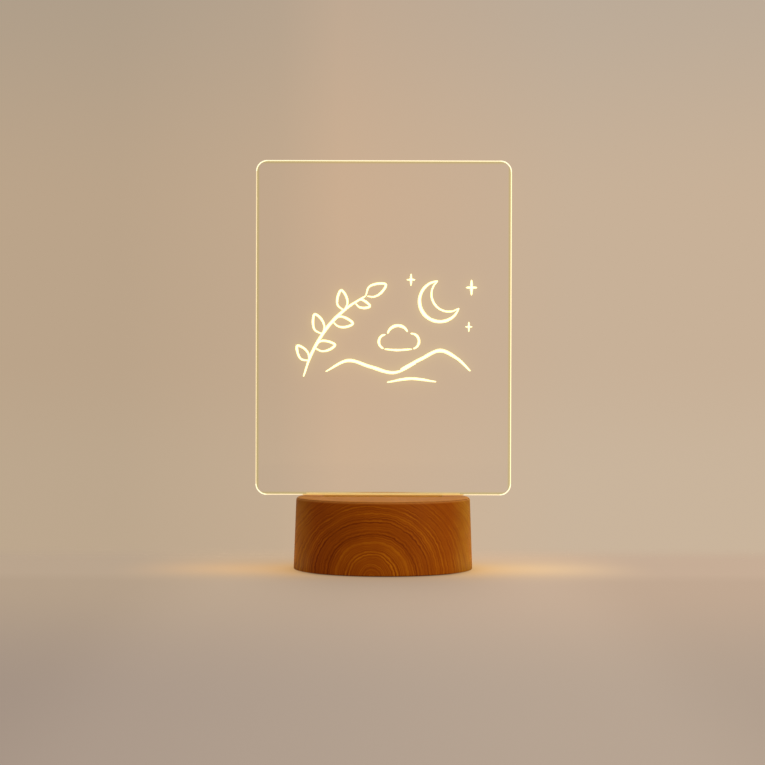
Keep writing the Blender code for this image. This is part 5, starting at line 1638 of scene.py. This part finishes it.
@dataclass
class MarkerDrawing:
    """A night sketch in glowing marker ink: a sprig, a crescent, sparkles, a cloud and soft hills.

    Args:
        film: How thick the ink lies.
        lift_off: The gap between the ink and the panel's face.
        rim_share: Where the ink's bright middle ends, as a share of half its width.
        rim_rise: How high the ink stands there, as a share of its film.
        full_width: The half width from which the ink has its full thickness.
        ink: The finish of the middle.
        rim: The finish of the rims.
    """

    film: float = 0.14 * MM
    lift_off: float = 0.01 * MM
    rim_share: float = 0.62
    rim_rise: float = 0.75
    full_width: float = 0.5 * MM
    ink: Glowing = Glowing("lit_ink", (1.0, 0.88, 0.34), 1.7, (0.95, 0.93, 0.85))
    rim: Glowing = Glowing("lit_ink_rim", chart(252, 240, 165), 1.0, (0.95, 0.86, 0.60))

    def leaf(self, root: Point, angle: float, length: float, width: float = 1.45) -> list[Stroke]:
        """Draws one leaf as an open almond with its vein.

        Args:
            root: Where it leaves the stem.
            angle: Its direction, in degrees.
            length: Its length.
            width: The stroke's width.

        Returns:
            The leaf's strokes.
        """
        turn = math.radians(angle)
        along = Vector((math.cos(turn), math.sin(turn)))
        aside = Vector((-along.y, along.x))
        upper = ((0.0, 0.0), (0.30, 0.26), (0.66, 0.22))
        belly = (*upper, (1.0, 0.0), (0.70, -0.20), (0.32, -0.22), (0.04, -0.04))
        start = Vector(root)
        places = (start + along * (a * length) + aside * (b * length) for a, b in belly)
        return [Stroke(tuple(tuple(place) for place in places), width, 0.4)]

    def sprig(self) -> list[Stroke]:
        """Draws the sprig: a bent stem with a leaf at its tip and leaves in turn on both sides.

        Returns:
            The sprig's strokes.
        """
        points = ((-47.0, 113.0), (-42.0, 127.0), (-33.0, 142.0), (-22.0, 153.0), (-10.5, 160.5))
        stem = Stroke(points, 1.9, 0.35)
        line = stem.path()
        strokes = [stem, *self.leaf(tuple(line[-1]), 30, 13.5)]
        left = ((0.16, 128, 11.0), (0.45, 112, 12.5), (0.75, 98, 12.0))
        right = ((0.30, 8, 12.0), (0.60, -6, 12.0), (0.88, -14, 9.0))
        for share, angle, length in sorted(left + right):
            strokes += self.leaf(tuple(line[int(share * (len(line) - 1))]), angle, length)
        return strokes

    def crescent(self) -> list[Stroke]:
        """Draws the crescent: a wide outer bow and a flatter inner one that meet at its tips.

        Returns:
            The crescent's strokes.
        """
        middle, radius, facing, opening, shift = (33.0, 157.5), 12.0, 38.0, 58.0, 6.6
        turn = math.radians(facing)
        inner = (middle[0] + shift * math.cos(turn), middle[1] + shift * math.sin(turn))
        across = radius * math.sin(math.radians(opening))
        ahead = radius * math.cos(math.radians(opening)) - shift
        half = math.degrees(math.atan2(across, ahead))
        outer_bow = Stroke.arc(middle, radius, facing + opening, facing + 360 - opening, 2.1, 0.3)
        reach = math.hypot(across, ahead)
        inner_bow = Stroke.arc(inner, reach, facing + half, facing + 360 - half, 1.25, 0.4)
        return [outer_bow, inner_bow]

    def sparkle(self, middle: Point, reach: float) -> list[Stroke]:
        """Draws a sparkle of two crossing strokes.

        Args:
            middle: Where they cross.
            reach: How far the upright stroke reaches.

        Returns:
            The sparkle's strokes.
        """
        u, v = middle
        side = reach * 0.72
        upright = Stroke(((u, v - reach), (u, v), (u, v + reach)), reach * 0.38, 0.2)
        level = Stroke(((u - side, v), (u, v), (u + side, v)), reach * 0.33, 0.2)
        return [upright, level]

    def cloud(self) -> list[Stroke]:
        """Draws a small cloud of three puffs on a long underline.

        Returns:
            The cloud's strokes.
        """
        return [
            Stroke.arc((1.5, 133.6), 4.3, 250, 95, 1.5),
            Stroke.arc((8.4, 136.8), 6.3, 165, 25, 1.8),
            Stroke.arc((16.2, 133.9), 4.6, 95, -75, 1.5),
            Stroke(((0.5, 129.3), (8.0, 128.7), (16.8, 129.3)), 1.3, 0.35),
        ]

    def hills(self) -> list[Stroke]:
        """Draws two soft hills and a short stroke under them.

        Returns:
            The hills' strokes.
        """
        return [
            Stroke(((-34.0, 116.0), (-21.0, 122.5), (-8.0, 119.0), (6.0, 115.5), (19.0, 121.0)), 2.0, 0.3),
            Stroke(((10.0, 117.5), (22.0, 123.5), (33.0, 128.5), (43.0, 124.0), (51.0, 116.5)), 2.1, 0.3),
            Stroke(((2.0, 109.8), (16.0, 112.0), (31.0, 110.2)), 1.6, 0.3),
        ]

    def ribbon(self, stroke: Stroke, face_y: float) -> Solid:
        """Builds one stroke as a low, domed ribbon of ink.

        Args:
            stroke: The stroke.
            face_y: The Y of the panel's front face.

        Returns:
            The closed ribbon; its rims have the second material.
        """
        line = stroke.path() * MM
        half = stroke.widths(stroke.path()) * MM
        along = np.gradient(line, axis=0)
        along /= np.linalg.norm(along, axis=1)[:, None]
        aside = np.stack([-along[:, 1], along[:, 0]], 1)
        inner, shoulder = self.rim_share, self.rim_rise
        section = ((-1.0, 0.0), (-inner, shoulder), (0.0, 1.0), (inner, shoulder), (1.0, 0.0))
        ribbon = bmesh.new()
        rows = []
        for centre, across, reach in zip(line, aside, half):
            dome = min(1.0, reach / self.full_width)
            row = []
            for share, rise in section:
                u, v = centre + across * reach * share
                row.append(ribbon.verts.new((u, face_y - self.lift_off - self.film * rise * dome, v)))
            rows.append(row)
        rims = (0, len(section) - 2)
        for number, face in enumerate(skinned(ribbon, rows)):
            face.material_index = int(number % len(section) in rims)
        bmesh.ops.recalc_face_normals(ribbon, faces=ribbon.faces)
        return ribbon

    def build(self) -> None:
        """Draws each motif on the panel's front face as a piece of its own."""
        face_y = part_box("acrylic_panel")[0].y
        places = (((51.5, 165.5), 4.6), ((16.0, 170.0), 3.6), ((50.0, 142.5), 3.0))
        stars = [stroke for middle, reach in places for stroke in self.sparkle(middle, reach)]
        motifs = {
            "ink_sprig": self.sprig(),
            "ink_crescent": self.crescent(),
            "ink_sparkles": stars,
            "ink_cloud": self.cloud(),
            "ink_hills": self.hills(),
        }
        for name, strokes in motifs.items():
            drawn = merged(self.ribbon(stroke, face_y) for stroke in strokes)
            add_piece(name, drawn, [self.ink, self.rim], Body.PANEL, sharp=60)


@dataclass
class WoodBase:
    """The round moulded base with its wood print, and the push-button in its rear recess.

    Args:
        top_radius: The shell's radius at its top, before its edge is rounded.
    """

    top_radius: float = 51 * MM

    def build(self) -> None:
        """Dresses the shell and the button."""
        low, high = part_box("base_shell")
        wood = WoodPrint(
            "wood_print",
            dark=chart(112, 46, 5),
            middle=chart(149, 75, 7),
            light=chart(184, 111, 15),
            # the top face's lighter colour is painted light and painted reflection
            painted_top_light=chart(219, 153, 77),
            plain=chart(112, 64, 34),
            heart_x=-6.4 * MM,
            heart_z=-0.5 * MM,
            rim_radius=high.x,
            rim_z=low.z,
            lean=(high.x - self.top_radius) / (high.z - low.z),
            top=high.z,
        )
        dress(["base_shell"], wood)
        dress(["button_cap"], BUTTON_PLASTIC)


@dataclass
class LightBar:
    """The LED board under the panel's tab, with its lamps, and the white channel that carries the panel.

    Args:
        lens_inset: How far the lens lies inside the lamp's housing.
        lens_sink: How far below the housing's rim the lens starts.
        lens_rise: How high it is.
        lens_dome: Its profile: how far in each level lies, and its share of the height.
        lamp_count: How many lamps there are.
        pad_length: How long a solder pad is.
        pad_shares: How much of that length its solder covers, and how much of the lamp's width.
        pad_rise: How high the solder stands.
    """

    lens_inset: float = 0.45 * MM
    lens_sink: float = 0.14 * MM
    lens_rise: float = 0.10 * MM
    lens_dome: tuple[Level, ...] = ((0.0, 0.0), (0.05 * MM, 0.6), (0.3 * MM, 1.0))
    lamp_count: int = 8
    pad_length: float = 0.7 * MM
    pad_shares: Point = (0.9, 0.7)
    pad_rise: float = 0.05 * MM

    def lens(self, name: str) -> Solid:
        """Fills a lamp's housing with its soft yellow lens.

        Args:
            name: The lamp's node.

        Returns:
            The lens.
        """
        low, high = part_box(name)
        size = high - low
        middle = (low + high) / 2
        width, height = size.x - 2 * self.lens_inset, size.y - 2 * self.lens_inset
        outline = Outline.rectangle(width, height, 0.5 * MM, middle=(middle.x, middle.y))
        start = high.z - self.lens_sink
        return layered(outline, [(inset, start + share * self.lens_rise) for inset, share in self.lens_dome])

    def pads(self, name: str, board_top: float) -> list[Solid]:
        """Lays the solder pads at both ends of a lamp.

        Args:
            name: The lamp's node.
            board_top: The board's upper face.

        Returns:
            The two pads.
        """
        low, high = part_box(name)
        length, width = self.pad_length * self.pad_shares[0], (high.y - low.y) * self.pad_shares[1]
        levels = rounded_levels(board_top, board_top + self.pad_rise, 0.02 * MM, 2)
        made = []
        for edge in (low.x - self.pad_length / 2, high.x + self.pad_length / 2):
            middle = (edge, (low.y + high.y) / 2)
            made.append(layered(Outline.rectangle(length, width, 0.15 * MM, 3, middle), levels))
        return made

    def build(self) -> None:
        """Dresses the channel and board, and adds lenses and pads."""
        lamps = [f"led_{number}" for number in range(1, self.lamp_count + 1)]
        dress(["panel_holder"], WHITE_PLASTIC)
        dress(["led_board"], WHITE_BOARD)
        dress(lamps, LAMP_BODY)
        board_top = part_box("led_board")[1].z
        for number, lamp in enumerate(lamps, 1):
            add_piece(f"led_lens_{number}", self.lens(lamp), [LAMP_GLOW], Body.BASE)
        pads = merged(pad for lamp in lamps for pad in self.pads(lamp, board_top))
        add_piece("led_board_pads", pads, [SOLDER], Body.BASE)


@dataclass
class ControlBoard:
    """The board behind the rear recess, with its chip, its switch and the power inlet.

    Args:
        leg_count: How many legs the chip has on each side.
        leg_width: Each leg's width.
        leg_reach: How far the legs reach out.
        leg_thickness: How thick they are.
        leg_bend: How high each of their bends is.
        finger_count: How many contacts lie on the inlet's tongue.
        finger_pitch: How far apart they lie.
        finger_width: How wide they are.
        finger_share: How much of the tongue's length they cover.
        finger_start: How far behind the tongue's end they start.
        finger_rise: How high they stand.
    """

    leg_count: int = 4
    leg_width: float = 0.42 * MM
    leg_reach: float = 1.0 * MM
    leg_thickness: float = 0.15 * MM
    leg_bend: float = 0.1 * MM
    finger_count: int = 6
    finger_pitch: float = 0.85 * MM
    finger_width: float = 0.35 * MM
    finger_share: float = 0.62
    finger_start: float = 0.4 * MM
    finger_rise: float = 0.03 * MM

    def leg(self, x: float, side_y: float, way: float, foot_z: float, shoulder_z: float) -> Solid:
        """Bends one leg of the chip down to the board.

        Args:
            x: Where it stands along the chip.
            side_y: The chip's side that it leaves.
            way: The direction that it leaves in, 1 or -1.
            foot_z: The board's upper face.
            shoulder_z: How high it leaves the chip.

        Returns:
            The leg.
        """
        reach, thin = self.leg_reach, self.leg_thickness
        route = (
            (0.0, shoulder_z),
            (0.32 * reach, shoulder_z),
            (0.45 * reach, shoulder_z - self.leg_bend),
            (0.55 * reach, foot_z + thin + self.leg_bend),
            (0.68 * reach, foot_z + thin),
            (reach, foot_z + thin),
        )
        section = ((-1, 0), (1, 0), (1, 1), (-1, 1))
        leg = bmesh.new()
        rows = []
        for out, height in route:
            y = side_y + way * out
            spots = ((x + a * self.leg_width / 2, y, height - b * thin) for a, b in section)
            rows.append([leg.verts.new(spot) for spot in spots])
        skinned(leg, rows)
        bmesh.ops.recalc_face_normals(leg, faces=leg.faces)
        return leg

    def legs(self, board_top: float) -> Solid:
        """Builds all the chip's legs.

        Args:
            board_top: The board's upper face.

        Returns:
            The legs.
        """
        low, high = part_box("control_chip")
        middle = (low.z + high.z) / 2
        pitch = (high.x - low.x) / (self.leg_count + 0.2)
        places = in_a_row((low.x + high.x) / 2, self.leg_count, pitch)
        sides = ((low.y, -1), (high.y, 1))
        return merged(self.leg(x, y, way, board_top, middle) for y, way in sides for x in places)

    def fingers(self) -> Solid:
        """Lays the contacts on the upper face of the inlet's tongue.

        Returns:
            The contacts.
        """
        low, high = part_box("usb_tongue")
        length = (high.y - low.y) * self.finger_share
        middle_y = high.y - length / 2 - self.finger_start
        levels = [(0.0, high.z), (0.02 * MM, high.z + self.finger_rise)]
        made = []
        for x in in_a_row((low.x + high.x) / 2, self.finger_count, self.finger_pitch):
            outline = Outline.rectangle(self.finger_width, length, 0.1 * MM, 2, (x, middle_y))
            made.append(layered(outline, levels))
        return merged(made)

    def build(self) -> None:
        """Dresses the board's parts and adds legs and contacts."""
        dress(["control_board"], GREEN_BOARD)
        dress(["control_chip"], CHIP_BODY)
        dress(["switch_body", "usb_tongue"], BLACK_PLASTIC)
        dress(["switch_plunger"], WHITE_PLASTIC)
        dress(["usb_socket"], INLET_STEEL)
        board_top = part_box("control_board")[1].z
        add_piece("chip_legs", self.legs(board_top), [SOLDER], Body.BASE)
        add_piece("inlet_contacts", self.fingers(), [GOLD], Body.BASE)


@dataclass
class BatteryBay:
    """Three cells in their tray, with contacts, springs and the door below them.

    Args:
        cells: The cells' nodes; the sign tells which way along X the positive end points.
        nub_height: How high the nub at a cell's positive end stands.
        nub_diameter: Its diameter.
        sleeve_fold: How far the sleeve's rounded fold reaches over both ends.
        collar: How long the coloured collar at the positive end is.
    """

    cells: tuple[tuple[str, int], ...] = (("battery_1", 1), ("battery_2", -1), ("battery_3", 1))
    nub_height: float = 1.0 * MM
    nub_diameter: float = 5.5 * MM
    sleeve_fold: float = 0.6 * MM
    collar: float = 13 * MM

    def cell(self, length: float, diameter: float) -> Solid:
        """Turns one cell, with its axis along Z and its positive end up.

        Args:
            length: The cell's length with its nub.
            diameter: The cell's diameter.

        Returns:
            The cell; the bare steel has the second material.
        """
        half, fold, nub = diameter / 2, self.sleeve_fold, self.nub_diameter / 2
        crown = length - self.nub_height
        levels = [
            (half * 0.35, 0.0),
            (half * 0.55, 0.05 * MM),
            (half * 0.30, 0.18 * MM),
            (fold * 1.6, 0.16 * MM),
            (fold * 1.5, 0.02 * MM),
            (fold * 0.55, 0.0),
            (fold * 0.14, 0.2 * MM),
            (0.0, fold),
            (0.0, crown * 0.5),
            (0.0, crown - fold),
            (fold * 0.14, crown - 0.2 * MM),
            (fold * 0.55, crown),
            (fold * 1.5, crown - 0.02 * MM),
            (fold * 1.6, crown - 0.25 * MM),
            (half - nub * 1.5, crown - 0.3 * MM),
            (half - nub * 1.06, crown - 0.1 * MM),
            (half - nub, crown + 0.1 * MM),
            (half - nub, length - 0.25 * MM),
            (half - nub * 0.92, length - 0.06 * MM),
            (half - nub * 0.8, length),
        ]
        solid = layered(Outline.circle(diameter, 14), levels)
        bare = half - fold * 1.55
        for face in solid.faces:
            out = face.calc_center_median().xy.length
            is_end = len(face.verts) > 4
            face.material_index = int(out < bare or is_end)
        return solid

    def build(self) -> None:
        """Builds the cells and dresses contacts, springs and door."""
        low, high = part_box("battery_1")
        length, diameter = high.x - low.x, high.y - low.y
        sleeve = CellSleeve("cell_sleeve", (0.020, 0.021, 0.024), (0.62, 0.30, 0.10), length, self.collar)
        for name, way in self.cells:
            low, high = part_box(name)
            start = Vector((low.x if way > 0 else high.x, (low.y + high.y) / 2, (low.z + high.z) / 2))
            lying = Matrix.Translation(start) @ Matrix.Rotation(way * QUARTER_TURN, 4, "Y")
            number = name.rsplit("_", 1)[1]
            solid = self.cell(length, diameter)
            add_piece(f"cell_{number}", solid, [sleeve, STEEL], Body.BASE, [name], place=lying)
        dress([f"battery_spring_{number}" for number in (1, 2, 3)], NICKEL, rounding=1)
        contacts = ("first", "last", "bridge_left", "bridge_right")
        dress([f"contact_{place}" for place in contacts], NICKEL)
        dress(["battery_door"], BROWN_PLASTIC)


@dataclass(frozen=True)
class ScrewSize:
    """The sizes of one kind of screw, whose head points down.

    Args:
        head: The head's diameter.
        head_height: Its height.
        shank: The diameter over the thread.
        pitch: How far apart the thread's turns lie.
        recess: How far each arm of the cross recess reaches.
    """

    head: float
    head_height: float
    shank: float
    pitch: float
    recess: float


@dataclass
class Fasteners:
    """Pan-head thread-forming screws with cross recesses, in place of the plain ones.

    Args:
        cover: The screws of the bottom cover.
        small: The screws inside.
        dome: How domed a head is, as a share of its radius and height.
        thread_depth: How deep the thread's valleys are.
        thread_margins: How far from the head the thread starts, and how far from the tip it ends.
        crest: How much narrower its crests are than its valleys.
        steps_per_turn: How many levels each turn of it has.
        tip: How long the tapered tip is, in diameters of the shank.
        tip_radius: How wide it ends.
        arm: How wide a recess's arm is, as a share of its reach.
        deep: How deep the recess is, as a share of the head's height.
    """

    cover: ScrewSize = ScrewSize(5.2 * MM, 1.6 * MM, 2.6 * MM, 0.95 * MM, 1.35 * MM)
    small: ScrewSize = ScrewSize(3.8 * MM, 1.3 * MM, 2.0 * MM, 0.8 * MM, 1.0 * MM)
    dome: float = 0.55
    thread_depth: float = 0.26 * MM
    thread_margins: Span = (0.3 * MM, 0.2 * MM)
    crest: float = 1.3
    steps_per_turn: int = 6
    tip: float = 1.4
    tip_radius: float = 0.12 * MM
    arm: float = 0.36
    deep: float = 0.62

    def blank(self, size: ScrewSize, length: float) -> Solid:
        """Turns the screw with its thread, head down and its lower face at zero.

        Args:
            size: The screw's sizes.
            length: Its length with its head.

        Returns:
            The screw without its recess.
        """
        reach, height = size.head / 2, size.head_height
        head = [
            (reach * (1 - math.cos(turn)) * self.dome, height * self.dome * (1 - math.sin(turn)))
            for turn in (QUARTER_TURN * step / 5 for step in range(5, -1, -1))
        ]
        bare, tip = reach - size.shank / 2, self.tip * size.shank
        levels = [*head, (0.0, height * 0.9), (0.08 * MM, height), (bare - 0.05 * MM, height)]
        rows = int((length - height) / size.pitch * self.steps_per_turn)
        for row in range(1, rows + 1):
            z = height + (length - height) * row / rows
            taper = max(0.0, 1 - (length - z) / tip)
            levels.append((bare + taper**1.6 * (size.shank / 2 - self.tip_radius), z))
        start, end = height + self.thread_margins[0], length - self.thread_margins[1]

        def thread(angle: float, z: float) -> float:
            """Works out how far the thread's valley lies below its crest.

            Args:
                angle: The angle about the screw.
                z: The height.

            Returns:
                The depth there.
            """
            if z <= start or z > end:
                return 0.0
            turn = (z / size.pitch - angle / FULL_TURN) % 1.0
            fade = min(1.0, (length - z) / tip)
            return self.thread_depth * min(1.0, abs(turn - 0.5) * 2 * self.crest) * fade

        return layered(Outline.circle(size.head, 6), levels, relief=thread)

    def recessed(self, size: ScrewSize, length: float) -> Solid:
        """Cuts the cross recess into the screw's head.

        Args:
            size: The screw's sizes.
            length: Its length with its head.

        Returns:
            The finished screw.
        """
        arm, half, deep = size.recess, size.recess * self.arm / 2, size.head_height * self.deep
        ends = ((half, half), (half, arm), (-half, arm), (-half, half), (-arm, half), (-arm, -half))
        ends += tuple((-u, -v) for u, v in ends)
        cross = Outline(tuple(Corner(u, v, 0.02 * MM) for u, v in ends), 1)
        cutter = layered(cross, [(-0.05 * MM, -0.2 * MM), (0.0, 0.0), (half * 0.55, deep)])
        return joined_solid(self.blank(size, length), cutter, "DIFFERENCE")

    def build(self) -> None:
        """Puts a finished screw in place of each plain one."""
        groups = {
            "cover_screw": (self.cover, 4),
            "holder_screw": (self.small, 2),
            "led_board_screw": (self.small, 2),
            "board_screw": (self.small, 2),
        }
        for group, (size, count) in groups.items():
            for number in range(1, count + 1):
                node = f"{group}_{number}"
                low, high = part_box(node)
                solid, place = self.recessed(size, high.z - low.z), foot_of(low, high)
                add_piece(f"{group}_fine_{number}", solid, [STEEL], Body.BASE, [node], 30, place)


@dataclass
class Underside:
    """The bottom cover with its tray, and the four rubber feet.

    Args:
        edge: The radius of a foot's edges.
        dish: How deep the grooves between its grip rings are.
        ring_count: How many grooves it has.
        ring_half: Half a groove's width.
        ring_margin: How much wider than the space between grooves the plain rim is.
    """

    edge: float = 0.55 * MM
    dish: float = 0.18 * MM
    ring_count: int = 3
    ring_half: float = 0.28 * MM
    ring_margin: float = 1.6

    def foot(self, name: str) -> Solid:
        """Turns one foot with a soft edge and shallow grip rings on its underside.

        Args:
            name: The foot's node.

        Returns:
            The foot.
        """
        low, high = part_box(name)
        radius, height = (high.x - low.x) / 2, high.z - low.z
        groove = ((1.0, 0.0), (0.5, self.dish), (-0.5, self.dish), (-1.0, 0.0))
        grip = []
        for number in range(self.ring_count, 0, -1):
            out = radius * (1 - number / (self.ring_count + self.ring_margin))
            grip += [(out + share * self.ring_half, rise) for share, rise in groove]
        inner = sorted(grip, key=lambda level: -level[0])
        levels = [*inner, *rounded_levels(0.0, height, self.edge, 4)]
        return layered(Outline.circle(2 * radius), levels, foot_of(low, high))

    def build(self) -> None:
        """Dresses the cover and builds the feet."""
        dress(["bottom_cover"], BROWN_PLASTIC)
        for number in range(1, 5):
            node = f"foot_{number}"
            add_piece(f"rubber_foot_{number}", self.foot(node), [RUBBER], Body.BASE, [node])


@dataclass
class Wiring:
    """The four leads between the battery contacts and the two boards.

    Args:
        reds: The red leads.
        blacks: The black leads.
    """

    reds: tuple[str, ...] = ("battery_lead_red", "led_lead_red")
    blacks: tuple[str, ...] = ("battery_lead_black", "led_lead_black")

    def build(self) -> None:
        """Dresses the leads in their insulation."""
        dress(self.reds, RED_WIRE, rounding=1)
        dress(self.blacks, BLACK_WIRE, rounding=1)


def main() -> None:
    """Builds the camera, every sub-assembly, then the studio; each piece is logged as it is made."""
    logging.basicConfig(level=logging.INFO, format="%(message)s")
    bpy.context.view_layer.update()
    StudioCamera().build()
    inside = (LightBar(), ControlBoard(), BatteryBay(), Underside(), Wiring(), Fasteners())
    for assembly in (ClearPanel(), MarkerDrawing(), WoodBase(), *inside, Studio()):
        assembly.build()


if __name__ == "__main__":
    main()
